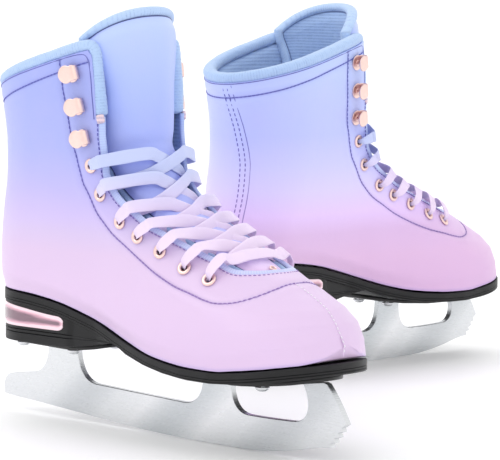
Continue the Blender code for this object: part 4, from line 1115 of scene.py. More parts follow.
def rim_path(spec, last_k, h):
    """A line along one flap edge, round the collar and down the other flap edge."""
    d0 = spec[-1][1]
    end = float(OUT.total(last_k) - OUT.flap_at(last_k))
    ctrl = list(spec) + [(last_k, d0 + (end - d0) * j / 12) for j in range(1, 13)]
    ks = spline(ctrl, 10)
    p, n, _, _ = on(ks[:, 0], np.minimum(ks[:, 1], end), h, 1.0)
    q, m, _, _ = on(ks[:, 0], np.minimum(ks[:, 1], end), h, -1.0)
    p[-1, 1] = 0.0
    n[-1] = unit(n[-1] * np.array([1, 0, 1]))
    return np.concatenate([p, q[-2::-1]]), np.concatenate([n, m[-2::-1]])


def binding(side):
    """Plush roll round the mouth and down the flap edges, and the line sewn beside it, which also stands in
    as painted shadow along the roll's lower edge.
    """
    P, N = rim_path(BIND_SPEC, 0.145, -(LEATHER + LINE_GAP + PAD) / 2)
    Q, s, X = resample(P, 0.9, N)
    T = unit(np.gradient(Q, axis=0))
    X = unit(X - T * np.sum(X * T, 1, keepdims=True))
    Y = np.cross(T, X)
    n = 26
    ca, sa, ang = squircle(n, 0.85, 0.85)
    end = np.minimum(s, s[-1] - s)
    cap = np.sqrt(np.clip(1 - (1 - np.clip(end / 3.0, 0, 1)) ** 2, 0.01, 1))
    fuzz = RNG.normal(0, 0.07, (len(s), n))
    lump = 0.16 * noise1(s / 9.0, 31, 2)
    r = 1 + (fuzz + lump[:, None]) / 4.0
    r = cap[:, None] * r
    V, F = sweep(rings_at(Q, r * BIND_A * ca, X, r * BIND_B * sa, Y))
    tex = np.stack([np.repeat(s, n), np.tile(ang * 4, len(s)), np.zeros(len(V))], 1)
    ob = piece(side, "collar_binding", V, F, M["plush"], tex=tex, tone=np.zeros(len(V)),
               replaces=["collar_binding"])
    # the sewn line at the roll's lower edge: blue thread that also serves as painted shadow where the roll
    # meets the leather
    spec = [(2.32, 6.3), (2.0, 6.6), (1.6, 6.9), (1.2, 6.9), (0.80, 7.0), (0.60, 7.4), (0.44, 8.8),
            (0.375, 11.5),
            (0.345, 18.0)]
    P, N = rim_path(spec, 0.34, 0.14)
    V, F, _, tex = cordage(P, N, 0.3, 0.22, 6, 1.3)
    piece(side, "binding_seam", V, F, M["blue"], tex=tex)


def edge_tape(side):
    """Tape folded round the throat edge, and the tab where the plush binding stops."""
    C = EDGE_P + EDGE_O * 1.35 - EDGE_N * (LEATHER / 2 - 0.05)
    s = arc_of(C)
    n = 16
    ca, sa, ang = squircle(n, 0.55, 0.55)
    V, F = sweep(rings_at(C, 2.0 * ca[None], EDGE_O, 1.36 * sa[None], EDGE_N))
    tex = np.stack([np.repeat(s, n), np.tile(ang * 2, len(s)), np.zeros(len(V))], 1)
    piece(side, "edge_tape", V, F, M["tape"], tex=tex, tone=np.zeros(len(V)))
    parts = []
    for sg in (1.0, -1.0):
        p, nn, e, f = on(np.array(BIND_END + 0.05), 2.1, 0.2, sg)
        rings = []
        for x, r in ((-2.6, 0.5), (-2.3, 0.9), (0, 1.0), (2.3, 0.9), (2.6, 0.5)):
            ring = [p + f * x + e * 2.5 * r * ca[j] + nn * 1.1 * r * sa[j] for j in range(n)]
            rings.append(ring)
        V, F = sweep(rings)
        parts.append((V, F, 0, V))
    V, F, _, tex = join(parts)
    piece(side, "flap_tabs", V, F, M["tab"], tex=tex, tone=np.zeros(len(V)))


# ------------------------------------------------------------------ tongue
T_K = [0, 2, 4, 5, 6, 7, 9, 11, 13, 15, 16, 17]
T_Q = [-8, -6, -3.5, -1.5, 0.5, 2, 3, 3, 3, 3.2, 3.6, 4.2]
T_A = [41, 41, 36, 30, 23, 18, 14, 12.5, 11, 9.5, 8.5, 7.5]
T_B = [28, 28, 26.4, 25, 24.6, 24.6, 24.2, 23.2, 21.5, 19.5, 17.5, 16]
T_T = [8, 8, 8, 8, 7.5, 7, 6.5, 6, 5.5, 5, 4.5, 4]
T_END = 76.0
T_TOP = [(136.2, 172.0), (137, 182), (137.3, 195), (137.2, 208), (136.6, 221), (135.6, 232), (134.4, 241),
         (133.4, 248.0), (132.6, 252.6)]
HINGE = (139.0, 171.5)


def tongue_arc(k, th):
    """Outer and inner curve across the tongue under the laces, at section k."""
    a, b, _, _ = rails(k)
    d = (b - a) / np.linalg.norm(b - a)
    q, A, B, T = (float(hermite(k, T_K, z)) for z in (T_Q, T_A, T_B, T_T))
    c = 1 - np.cos(th)
    dep, dep2 = q + A * c, q + T + (A - T * .6) * c
    sh = float(shift(b[0]))
    o = np.stack([b[0] - d[0] * dep, B * np.sin(th) + sh, b[1] - d[1] * dep], 1)
    i = np.stack([b[0] - d[0] * dep2, (B - T * .55) * np.sin(th) + sh, b[1] - d[1] * dep2], 1)
    return o, i


def tongue_top_arc(uf, vf, th):
    """The same across the free top of the tongue, through its front at (uf, vf)."""
    T, A, B = 8.0, 41.0, 28.0 + 6.5 * sm((vf - 205) / 34)
    c = 1 - np.cos(th)
    drop = 12.0 * sm((vf - 222) / 28) * np.abs(th / math.radians(T_END)) ** 2.8
    v = vf - drop - A * c * 0.22
    o = np.stack([uf - A * c, B * np.sin(th), v], 1)
    i = np.stack([uf - T - (A - T * .6) * c, (B - T * .55) * np.sin(th), v], 1)
    return o, i


def tongue(side):
    """Padded tongue with a plush roll round its edge, bending above the top lace row."""
    th = np.radians(np.linspace(-T_END, T_END, 61))
    rows = [tongue_arc(k, th) for k in (15.8, 15, 14, 13, 12, 11, 10, 9, 8, 7.3, 6.6, 6, 5.4, 4.9, 4.4,
                                        4.0)]
    rows += [tongue_top_arc(u, v, th) for u, v in T_TOP]
    both = np.array([np.concatenate([o, i]).ravel() for o, i in rows])
    dense = spline(both, 7).reshape(-1, 122, 3)
    O, I = dense[:, :61], dense[:, 61:]
    C, Tk = (O + I) / 2, np.linalg.norm(O - I, axis=2)
    # columns at fixed distances from both long edges, so the seam runs true
    near = np.array([0, 0.25, 0.7, 1.4, 2.3, 3.2, 4.2, 5.0, 5.5, 5.9, 6.5, 7.6, 9.5])
    grid_c, grid_h, grid_x = [], [], []
    for r in range(len(C)):
        arc = arc_of(C[r])
        L = arc[-1]
        a = np.concatenate([near, np.linspace(near[-1], L - near[-1], 30)[1:-1], (L - near)[::-1]])
        grid_c.append(np.stack([np.interp(a, arc, C[r][:, j]) for j in range(3)], 1))
        grid_h.append(np.interp(a, arc, Tk[r]) / 2)
        grid_x.append(np.minimum(a, L - a))
    Cg, Hg, X = np.array(grid_c), np.array(grid_h), np.array(grid_x)
    down = np.linalg.norm(np.diff(Cg, axis=0), axis=2)
    top_x = np.concatenate([np.cumsum(down[::-1], axis=0)[::-1], np.zeros((1, Cg.shape[1]))])
    bot_x = np.concatenate([np.zeros((1, Cg.shape[1])), np.cumsum(down, axis=0)])
    # rows near the top edge: same spacing as the columns
    nrow = len(Cg)
    mid = Cg.shape[1] // 2
    span = bot_x[-1, mid]
    want = np.concatenate([np.linspace(0, span - 10.5, 150), span - near[::-1]])
    rowpos = np.interp(want, bot_x[:, mid], np.arange(nrow))
    lo = np.clip(rowpos.astype(int), 0, nrow - 2)
    fr = (rowpos - lo)[:, None]

    def pick(A):
        w = fr[..., None] if A.ndim == 3 else fr
        return A[lo] * (1 - w) + A[lo + 1] * w

    Cg, Hg, X, top_x, bot_x = pick(Cg), pick(Hg), pick(X), pick(top_x), pick(bot_x)
    x = np.minimum(X, top_x)
    roll = 5.5
    bead = 3.7 * np.sqrt(np.clip(1 - ((x - roll / 2) / (roll / 2)) ** 2, 0, 1))
    body = Hg * (0.52 + 0.48 * sm((x - roll) / 7.0))
    h = np.where(x < roll, np.maximum(bead, 0.10 + 1.55 * np.clip(x / roll, 0, 1)), body)
    h = np.where((x >= roll) & (x < roll + 0.6), body - 0.25, h)
    h = np.maximum(h * sm(bot_x / 6.0 + 0.1), 0.1)
    gu = np.gradient(Cg, axis=0)
    gv = np.gradient(Cg, axis=1)
    N = unit(np.cross(gv, gu))
    N *= np.sign(N[len(N) // 2, mid, 0])
    face = 0.30 * noise1(X / 9.0 + Cg[..., 2] / 60.0, 41, 2) * sm((x - roll) / 6)
    fine = RNG.normal(0, 0.07, x.shape) * (x < roll)
    Vo = Cg + N * (h + face + fine)[..., None]
    Vi = Cg - N * (h + fine)[..., None]
    nr, nc = x.shape
    F = grid_faces(nr, nc)
    V, F2, walls = thick(Vo.reshape(-1, 3), Vi.reshape(-1, 3), F)
    xc = ((x[:-1, :-1] + x[1:, :-1] + x[:-1, 1:] + x[1:, 1:]) / 4).ravel()
    region = (xc < roll).astype(int)
    fm = list(region) + [1 if r else 2 for r in region] + [1] * len(walls)
    # painted shade: a dark line along the groove where the plush roll meets the tongue's face
    tone = 0.75 * np.exp(-((x - roll - 0.2) / 0.45) ** 2).ravel()
    along = np.where(X < top_x, bot_x, Cg[..., 1] + 300)
    tex = np.stack([along, X, Cg[..., 2]], 2).reshape(-1, 3)
    ob = piece(side, "tongue", V, F2 + walls, [M["tongue"], M["plush"], M["knit"]],
               fmat=fm,
               tex=np.concatenate([tex, tex]), tone=np.concatenate([tone, tone]), body="later",
               replaces=["tongue_lower", "tongue_upper"])
    lo_p, hi_p = place(side, [(HINGE[0] - 2, 0, HINGE[1] - 13), (HINGE[0] - 2, 0, HINGE[1] + 15)])
    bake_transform(ob)
    # stitched line inside the roll, on the face
    j = len(near) - 4
    r = len(want) - len(near) + 3
    line = np.concatenate([Vo[4:r, j], Vo[r, j:nc - j], Vo[4:r, nc - 1 - j][::-1]])
    nrm = np.concatenate([N[4:r, j], N[r, j:nc - j], N[4:r, nc - 1 - j][::-1]])
    V, F, _, tex = cordage(line, nrm, 0.36, 0.3, 6, 1.3, 0, 0.02)
    ob = piece(side, "tongue_seam", V, F, M["navy"], tex=tex, body="later")
    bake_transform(ob)


# ------------------------------------------------------------------ laces
LACE_HW, LACE_HT = 3.85, 0.55


def over_tongue(k, x, h):
    """Point and normal over the tongue at a share x of its half width."""
    a, b, _, _ = rails(k)
    d = (b - a) / np.linalg.norm(b - a)
    q, A, B = (float(hermite(k, T_K, z)) for z in (T_Q, T_A, T_B))
    m = x * 25.0
    th = math.asin(max(-0.97, min(m / B, 0.97)))
    dep = q + A * (1 - math.cos(th))
    nd, nm = B * math.cos(th), A * math.sin(th)
    ln = math.hypot(nd, nm)
    n = np.array([d[0] * nd / ln, nm / ln, d[1] * nd / ln])
    p = np.array([b[0] - d[0] * dep, m + float(shift(b[0])), b[1] - d[1] * dep])
    return p + n * h, n


def on_flap(k, dist, h, sg):
    """Point and normal over the flap, going straight on past its edge."""
    p, n, e, _ = on(np.array(float(k)), max(dist, 0.4), h, sg)
    if dist < 0.4:
        p = p - e * (0.4 - dist)
    return p, n


def ribbon(ctrl, seed):
    """A flat woven lace through control rows of point, normal, half width, half thickness, cup, tone."""
    rows = np.array([list(c[0]) + list(c[1]) + [c[2], c[3], c[4], c[5]] for c in ctrl])
    P = spline(rows, 9)
    P, s = resample_rows(P, 0.85)
    C, N = P[:, :3], unit(P[:, 3:6])
    T = unit(np.gradient(C, axis=0))
    W = unit(np.cross(N, T))
    H = unit(np.cross(T, W))
    twist = 0.09 * noise1(s / 11.0, seed, 2)
    W2 = W * np.cos(twist)[:, None] + H * np.sin(twist)[:, None]
    H2 = H * np.cos(twist)[:, None] - W * np.sin(twist)[:, None]
    n = 18
    ca, sa, ang = squircle(n, 0.7, 0.8)
    hw = P[:, 6] * (1 + 0.03 * noise1(s / 6.0, seed + 1, 2))
    ht, cup = P[:, 7], P[:, 8]
    pleat = 0.16 * np.cos(ang * 3.0)[None] * np.clip((3.1 - hw) / 1.5, 0, 1)[:, None]
    z = ht[:, None] * sa + cup[:, None] * ca ** 2 + pleat
    V, F = sweep(rings_at(C, hw[:, None] * ca, W2, z, H2))
    tex = np.stack([np.repeat(s, n), (hw[:, None] * ca).ravel(), np.tile(sa, len(s))], 1)
    # painted shade: the tone column of the control rows, plus a darker underside across the ribbon
    tone = np.repeat(P[:, 9], n) + 0.16 * np.clip(-np.tile(sa, len(s)), 0, 1)
    return V, F, tex, tone


def resample_rows(P, step):
    """Rows at an even spacing along their first three columns."""
    arc = arc_of(P[:, :3])
    s = np.linspace(0, arc[-1], int(arc[-1] / step) + 1)
    return np.stack([np.interp(s, arc, P[:, c]) for c in range(P.shape[1])], 1), s


RISE = [0.06, 0.28, 0.36, 0.40, 0.52, 0.56, 0.50]   # section steps a lace climbs up the flap


def out_of_hole(i, sg):
    """The lace leaves an eyelet, turns up the flap and lies over its edge."""
    k, dk = EYE_K[i], -RISE[i]
    rows = []
    # tone is painted shade: darkest where the lace sits down in the eyelet, fading out as it climbs onto
    # the flap
    for f, dist, h, hw, ht, cup, tone in (
            (0.0, 12.2, -3.0, 1.05, 0.7, 0.2, 0.95), (0.0, 11.9, -0.4, 1.15, 0.7, 0.35, 0.7),
            (0.03, 10.9, 1.5, 1.7, 0.7, 0.8, 0.2), (0.20, 8.9, 3.1, 2.7, 0.65, 1.0, 0.03),
            (0.48, 6.0, 4.2, 3.5, 0.6, 0.75, 0.0), (0.76, 3.0, 4.9, 3.8, 0.55, 0.4, 0.0),
            (1.0, -0.4, 5.1, 3.85, 0.55, 0.2, 0.0)):
        p, n = on_flap(k + dk * f, dist, h, sg)
        rows.append((p, n, hw, ht, cup, tone))
    return rows


def lace(side):
    """Crossed rows between the eyelets, and the straight one at the toe end."""
    parts, tones = [], []
    over_sg = -1.0 if side == "right" else 1.0
    seed = 50
    for i in range(6):
        k0, k1 = EYE_K[i], EYE_K[i + 1]
        gap = k1 - k0
        for sg in (-over_sg, over_sg):
            top = sg == over_sg
            rows = out_of_hole(i, sg)
            ke, kx = k0 - RISE[i], k1 - RISE[i + 1]
            mids = ((0.52, 5.4, -0.04), (0.30, 4.4 if top else 3.0, 0.10), (0.0, 3.0 if top else 1.2, 0.36),
                    (-0.30, 2.2 if top else 0.95, 0.60), (-0.58, 1.5, 0.82))
            for x, h, f in mids:
                p, n = over_tongue(ke + (kx - ke) * f, x * sg, h)
                rows.append((p, n, LACE_HW, LACE_HT, 0.0, 0.0))
            # painted shade: the lace darkens as it runs in under the far flap
            for dist, h, dk, hw, tone in ((0.2, -LEATHER - 1.5, 0.0, 3.4, 0.3),
                                          (4.0, -LEATHER - 1.9, 0.08, 3.2, 0.7),
                                          (9.0, -LEATHER - 2.0, 0.2, 2.6, 0.9)):
                p, n = on_flap(kx + dk, dist, h, -sg)
                rows.append((p, n, hw, LACE_HT, 0.0, tone))
            seed += 3
            V, F, tex, tone = ribbon(rows, seed)
            parts.append((V, F, 0, tex))
            tones.append(tone)
    k = EYE_K[6] - RISE[6]
    rows = out_of_hole(6, 1.0)
    for x, h in ((0.66, 5.4), (0.36, 4.4), (0.0, 3.9), (-0.36, 4.4), (-0.66, 5.4)):
        p, n = over_tongue(k + 0.06, x, h)
        rows.append((p, n, LACE_HW, LACE_HT, 0.0, 0.0))
    rows += out_of_hole(6, -1.0)[::-1]
    V, F, tex, tone = ribbon(rows, seed + 5)
    parts.append((V, F, 0, tex))
    tones.append(tone)
    V, F, _, tex = join(parts)
    piece(side, "lace", V, F, M["lace"], tex=tex, tone=np.clip(np.concatenate(tones), 0, 1),
          replaces=["lace"])


# ------------------------------------------------------------------ eyelets and hooks
def lathe(c, n, prof, sides=24, ref=None, closed=True, wave=None):
    """Round solid about axis n at c; prof rows are (radius, height)."""
    n = unit(np.asarray(n, float))
    r0 = np.array([0.31, 0.2, 0.93]) if ref is None else np.asarray(ref, float)
    x = unit(np.cross(n, r0))
    y = np.cross(n, x)
    ang = np.arange(sides) * 2 * math.pi / sides
    rings = []
    for r, h in prof:
        rr = r if wave is None else r * wave(r, ang)
        rings.append(c + n * h + (rr * np.cos(ang))[:, None] * x + (rr * np.sin(ang))[:, None] * y)
    if closed:
        rings.append(rings[0])
        V, F = sweep(rings, caps=False)
        m = len(prof) * sides
        return V[:m], [[i % m for i in f] for f in F]
    return sweep(rings)


RING = [(4.25, 0.0), (4.4, 0.3), (4.3, 0.75), (3.8, 1.1), (3.1, 1.2), (2.5, 1.0), (2.05, 0.45), (1.9, -0.2),
        (1.95, -0.8), (2.25, -1.4), (2.25, -3.3), (2.6, -3.3), (2.65, 0.0)]


def eyelets(side):
    """Flanged rings through the leather, each with a dark disc at its foot that is painted shade in the
    hole.
    """
    for sg, nm in ((1.0, "outer"), (-1.0, "inner")):
        parts, shade_plugs = [], []
        for k in EYE_K:
            p, n, _, _ = on(np.array(k), EYE_DIST, 0.0, sg)
            V, F = lathe(p, n, RING, 28)
            parts.append((V, F, 0, V))
            # painted shade: a dark disc low in each eyelet's barrel, standing in for the shade in the hole
            V, F = lathe(p, n, [(2.28, -3.2), (2.28, -2.3)], 16, closed=False)
            shade_plugs.append((V, F, 1, V))
        V, F, fm, tex = join(parts + shade_plugs)
        piece(side, "eyelets_" + nm, V, F, [M["gold"], M["dark"]], fmat=fm, tex=tex,
              replaces=["eyelets_" + nm], sharp=60)


def hooks(side):
    """Speed hooks: a strip folded at the edge side, with a rivet in its base disc."""
    for sg, nm in ((1.0, "outer"), (-1.0, "inner")):
        for i, k in enumerate(HOOK_K):
            p, n, e, f = on(np.array(k), HOOK_DIST[i], 0.0, sg)
            # base disc, neck, top disc
            prof = []
            for a in np.linspace(-176, -52, 22):
                prof.append((5.2 * math.cos(math.radians(a)), 0.75, 5.2 * abs(math.sin(math.radians(a))),
                             0.5))
            for a in np.linspace(-80, 80, 13):
                prof.append((3.6 + 2.2 * math.cos(math.radians(a)), 3.55 + 2.8
                             * math.sin(math.radians(a)), 4.3, 0.5))
            for a in np.linspace(50, 176, 24):
                x = 5.35 * math.cos(math.radians(a))
                prof.append((x, 6.35 + 0.03 * (5.4 - x), 5.35 * math.sin(math.radians(a)), 0.55))
            prof = np.array(prof)
            w = prof[:, 2].copy()
            w[1:-1] = (w[:-2] + 4 * w[1:-1] + w[2:]) / 6
            C = p - e * prof[:, :1] + n * prof[:, 1:2]
            T = unit(np.gradient(C, axis=0))
            W = np.repeat(f[None], len(C), 0)
            ca, sa, _ = squircle(20, 0.4, 0.6)
            V, F = sweep(rings_at(C, w[:, None] * ca, W, prof[:, 3:] * sa, unit(np.cross(T, W))))
            rv, rf = lathe(p, n, [(1.9, 1.1), (1.9, 1.6), (1.4, 2.0), (0.5, 2.1)], 14, closed=False)
            V2, F2, fm, tex = join([(V, F, 0, V), (rv, rf, 0, rv)])
            piece(side, "hook_%s_%d" % (nm, i + 1), V2, F2, M["gold"], tex=V2,
                  replaces=["hook_%s_%d" % (nm, i + 1)], sharp=50)


# ------------------------------------------------------------------ sole unit
def sole_half(u):
    """Half width of the sole at u."""
    w = float(np.interp(u, SOLE_U, SOLE_W))
    if u < SOLE_BACK + HEEL_R:
        x = (SOLE_BACK + HEEL_R - u) / HEEL_R
        w = HEEL_R * math.sqrt(max(0.0, 1 - x * x))
    elif u > SOLE_FRONT - TOE_R:
        x = (u - (SOLE_FRONT - TOE_R)) / TOE_R
        w = TOE_R * max(0.0, 1 - abs(x) ** 2.15) ** (1 / 2.15)
    return w


def outline(half, u0, u1, step):
    """Outer half outline from the rear middle to the front middle, with in-plane outward normals."""
    t = (1 - np.cos(np.linspace(0, math.pi, 900))) / 2
    t = np.concatenate([t[:1], [1e-5, 1e-4, 5e-4], t[2:-2], [1 - 5e-4, 1 - 1e-4, 1 - 1e-5], t[-1:]])
    u = u0 + (u1 - u0) * np.sort(t)
    w = np.array([half(x) for x in u])
    w[0] = w[-1] = 0.0
    P, _ = resample(np.stack([u, w], 1), step)
    d = np.gradient(P, axis=0)
    n = unit(np.stack([-d[:, 1], d[:, 0]], 1))
    for _ in range(2):
        n[1:-1] = (n[:-2] + 2 * n[1:-1] + n[2:]) / 4
    n = unit(n)
    n[0], n[-1] = (-1, 0), (1, 0)
    P[0, 1] = P[-1, 1] = 0.0
    return P, n


def offset(level, d):
    """A height function moved up by d."""
    return lambda u: float(level(u)) + d


def puck(half, u0, u1, step, levels, bend=True):
    """Solid of one outline: levels are (height, inset) from the top ring to the bottom ring.

    Each is a number or a function of u.
    """
    P, n = outline(half, u0, u1, step)
    N = len(P)
    c = shift(P[:, 0]) if bend else np.zeros(N)
    V = []
    for height, inset in levels:
        v, ins = (np.array([float(f(u)) if callable(f) else f for u in P[:, 0]]) for f in (height, inset))
        q = P - n * ins[:, None]
        q[:, 1] = np.maximum(q[:, 1], 0)
        q[0, 1] = q[-1, 1] = 0
        outer = np.stack([q[:, 0], q[:, 1] + c, v], 1)
        inner = np.stack([q[:, 0], -q[:, 1] + c, v], 1)[-2:0:-1]
        V.append(np.concatenate([outer, inner]))
    L = 2 * N - 2
    F = []
    for a in range(len(levels) - 1):
        for j in range(L):
            F.append([a * L + j, a * L + (j + 1) % L, (a + 1) * L + (j + 1) % L, (a + 1) * L + j])
    for ring, flip in ((0, False), (len(levels) - 1, True)):
        o = ring * L
        for j in range(N - 1):
            q = distinct([o + j, o + j + 1, o + (L - j - 1) % L, o + (L - j) % L])
            F.append(q if flip else q[::-1])
    return np.concatenate(V), F


WIN_BACK_TOP, WIN_FRONT_TOP, WIN_LOW, WIN_END = 72.0, 67.0, 58.5, 84.0
STRIP = 7.0


def strip_low(u):
    return max(float(sole_top(u)) - STRIP, float(sole_bot(u)) + 0.5)


def heel_level(v_heel, u):
    """A height on the heel block that runs out flat past the window."""
    lo, hi = float(sole_bot(u)), strip_low(u)
    if u <= WIN_END:
        return max(min(v_heel, hi - 0.3), lo)
    lo_a, hi_a = float(sole_bot(WIN_END)), strip_low(WIN_END)
    f = (v_heel - lo_a) / (hi_a - lo_a)
    return lo + max(0.0, min(f, 1.0)) * (hi - lo)


def outsole(side):
    """Moulded sole and heel block, with two grooves in its strip and two round the heel."""
    fore = lambda u: float(sm((u - 132) / 10))
    arch = lambda u: float(sm((u - 87) / 3) * (1 - sm((u - 132) / 8)))
    under = lambda u, j: 0.45 + 1.3 * arch(u) + fore(u) * 0.28 * j
    lv = [(offset(sole_top, -d), inset) for d, inset in ((0.15, 1.2), (0.1, 0.5), (0.5, 0.05))]
    for g in (3.9, 5.4):
        lv += [(offset(sole_top, 0.26 - g), 0.0), (offset(sole_top, -g), 0.32),
               (offset(sole_top, -g - 0.26), 0.0)]
    lv += [(offset(strip_low, 0.5), 0.0), (offset(strip_low, 0.1), 0.35),
           (strip_low, lambda u: under(u, 0))]
    for j, v in enumerate((57.0, 56.65, 56.3, 54.9, 54.55, 54.2, 52.0, 50.2)):
        cut = 0.55 if j in (1, 4) else 0.0
        lv.append((lambda u, v=v: heel_level(v, u),
                   lambda u, j=j, cut=cut: under(u, j + 1) + cut * (1 - fore(u)) * (1 - arch(u) * 0.6)))
    lv += [(offset(sole_bot, 0.15), lambda u: under(u, 9) + 0.05), (sole_bot, lambda u: under(u, 9) + 0.6)]
    V, F = puck(sole_half, SOLE_BACK, SOLE_FRONT, 2.0, lv)
    piece(side, "outsole", V, F, M["sole"], tex=V, replaces=["outsole"], sharp=32)


def window(side):
    """Clear band let into the heel block, crowned, with round front ends."""
    P, n = outline(sole_half, SOLE_BACK, SOLE_FRONT, 1.3)
    keep = P[:, 0] <= WIN_END + 0.4
    P, n = P[keep], n[keep]
    P = np.concatenate([P[::-1], P[1:] * np.array([1, -1])])
    n = np.concatenate([n[::-1], n[1:] * np.array([1, -1])])
    x = np.sin(np.linspace(-1, 1, 15) * math.pi / 2)
    O, I, tone = [], [], []
    for (u, w), nn in zip(P, n):
        hi = WIN_BACK_TOP + (WIN_FRONT_TOP - WIN_BACK_TOP) * sm((u - 22) / 62)
        mid, hh = (hi + WIN_LOW) / 2, (hi - WIN_LOW) / 2
        r = 6.0
        end = np.clip((WIN_END - u) / r, 0, 1)
        hh = hh * math.sqrt(max(1 - (1 - end) ** 2, 0.0025))
        v = mid + hh * x
        crown = 0.55 * np.sqrt(np.clip(1 - x ** 2, 0, 1)) * math.sqrt(max(1 - (1 - end) ** 2, 0.0))
        for arr, off in ((O, crown - 0.25), (I, np.full(len(x), -3.2))):
            arr.append(np.stack([u + nn[0] * off, w + nn[1] * off, v], 1))
        edge = np.minimum(hh - np.abs(v - mid), max(WIN_END - u, 0))
        tone.append(sm((edge - 1.0) / 3.4))
    O, I, tone = np.array(O), np.array(I), np.array(tone)
    F = grid_faces(len(P), len(x))
    V, F2, walls = thick(O.reshape(-1, 3), I.reshape(-1, 3), F)
    piece(side, "heel_window", V, F2 + walls, M["window"], tex=V,
          tone=np.concatenate([tone.ravel(), tone.ravel()]), replaces=["heel_window"], sharp=60)


def plate_half_heel(u):
    if u < 36:
        return 19 * math.sqrt(max(0, 1 - ((36 - u) / 14.0) ** 2))
    if u > 90:
        return (8 + 14 * math.sqrt(max(0, 1 - ((u - 90) / 18.0) ** 2))) * math.sqrt(max(0,
                1 - max(0, (u - 104) / 4) ** 2))
    return 19 + 3 * min(1, (u - 36) / 40)


def plate_half_sole(u):
    if u > 246:
        return 24 * math.sqrt(max(0, 1 - ((u - 246) / 24.0) ** 2))
    w = float(np.interp(u, [152, 158, 200, 225, 246], [11, 17, 25, 27, 24]))
    return w * math.sqrt(max(0, 1 - max(0, (155 - u) / 3) ** 2))


def plates(side):
    """Steel mounting plates under the sole and the heel."""
    for nm, half, u0, u1 in (("heel_plate", plate_half_heel, 22.0, 108.0),
                             ("sole_plate", plate_half_sole, 152.0, 270.0)):
        lv = [(offset(sole_bot, -GAP - d), inset) for d, inset in (
            (0.0, 0.6), (0.15, 0.15), (0.6, 0.0), (PLATE_T - 0.6, 0.0), (PLATE_T - 0.15, 0.2),
            (PLATE_T, 0.7))]
        V, F = puck(half, u0, u1, 1.6, lv, bend=nm == "sole_plate")
        piece(side, nm, V, F, M["plate"], tex=V, replaces=[nm], sharp=40)


HEEL_SCREWS = [(31, 13.5), (31, -13.5), (80, 17), (80, -17)]
SOLE_SCREWS = [(170, 13), (170, -14), (236, 18), (236, -20)]


def screws(side):
    """Pan heads with a cross recess, and their shanks."""
    cross = lambda r, a: 1 + (0.35 * np.cos(4 * a) if r < 1.5 else 0 * a)
    prof = [(0.25, 1.1), (0.9, 1.1), (1.25, 2.35), (1.7, 2.8), (2.6, 2.55), (3.5, 1.9), (4.15, 0.9),
            (4.2, 0.45),
            (4.0, 0.25), (1.8, 0.25), (1.8, -5.5), (0.4, -5.5)]
    for group, spots in (("heel", HEEL_SCREWS), ("sole", SOLE_SCREWS)):
        for i, (u, m) in enumerate(spots):
            v = float(sole_bot(u)) - GAP - PLATE_T
            c = np.array([u, m, v])
            V, F = lathe(c, (0, 0, -1.0), prof, 32, ref=(1, 0, 0), closed=False, wave=cross)
            nm = "%s_screw_%d" % (group, i + 1)
            piece(side, nm, V, F, M["steel"], tex=V, replaces=[nm], sharp=40)


# ------------------------------------------------------------------ blade
def cubic(p0, p1, p2, p3, n):
    t = np.linspace(0, 1, n + 1)[:, None]
    w = [(1 - t) ** 3, 3 * t * (1 - t) ** 2, 3 * t * t * (1 - t), t ** 3]
    return [tuple(r) for r in sum(a * np.array(q, float) for a, q in zip(w, (p0, p1, p2, p3)))]


def blade_outline():
    """Side view of the blade: runner, toe picks, and the windows between its three posts."""
    ft = offset(sole_bot, -2 * GAP - PLATE_T)
    under_u = [0.0, 8, 30, 60, 85, 108, 135, 160, 178, 206, 216, 226, 237, 247, 257, 266]
    under_v = [9.4, 8.6, 7.4, 5.4, 3.6, 2.1, 0.8, 0.15, 0.0, 0.0, 0.4, 1.2, 2.6, 4.2, 6.4, 8.1]
    p = [(u, float(hermite(u, under_u, under_v))) for u in np.linspace(0, 266, 110)]
    p += [(274.5, 8.9), (273.6, 11.2), (277.4, 12.2), (276.5, 14.3), (280.0, 15.6), (279.0, 17.8),
          (282.6, 18.9), (281.8, 21.0), (285.4, 23.3)]
    # each step is two handles, the next point and a count of pieces, or just the next point
    for step in (
            ((281.5, 31), (276, 38.5), (270.5, ft(268) - 0.6), 16), (268.0, ft(268.0)), (252.0, ft(252.0)),
            ((258.5, 33), (258, 20.6), (244.0, 20.6), 24), ((230, 20.2), (226, 20.0), (210.5, 20.2), 8),
            ((199, 20.6), (196, 30), (196.5, ft(196.5)), 20), (174.0, ft(174.0)),
            ((173.6, 33), (172, 21.6), (158.0, 21.6), 20), ((140, 22.2), (110, 23.1), (84.0, 24.0), 8),
            ((73, 24.6), (67.5, 32), (66.8, 46.0), 20), (41.0, 46.0),
            ((40.6, 38), (38.5, 26.6), (27.0, 25.6), 18), ((18, 24.4), (12, 23.6), (6.0, 22.6), 5),
            ((1.5, 21.6), (-0.4, 18.0), (-0.4, 14.0), 8)):
        p += [step] if len(step) == 2 else cubic(p[-1], *step)[1:]
    return np.array(p)


def blade(side):
    """Flat blade with a small bevel along every edge."""
    P = blade_outline()
    d1 = unit(P - np.roll(P, 1, 0))
    d2 = unit(np.roll(P, -1, 0) - P)
    n1 = np.stack([-d1[:, 1], d1[:, 0]], 1)
    n2 = np.stack([-d2[:, 1], d2[:, 0]], 1)
    n = unit(n1 + n2)
    miter = 1 / np.clip(np.sum(n * n1, 1), 0.55, 1)
    edge = 0.35
    q = P + n * (miter * edge)[:, None]
    H = BLADE_T / 2
    rings = []
    for pts, m in ((q, H), (P, H - edge), (P, edge - H), (q, -H)):
        rings.append(np.stack([pts[:, 0], np.full(len(pts), m), pts[:, 1]], 1))
    V, F = sweep(rings)
    piece(side, "blade", V, F, M["blade"], tex=V, replaces=["blade"], sharp=22)


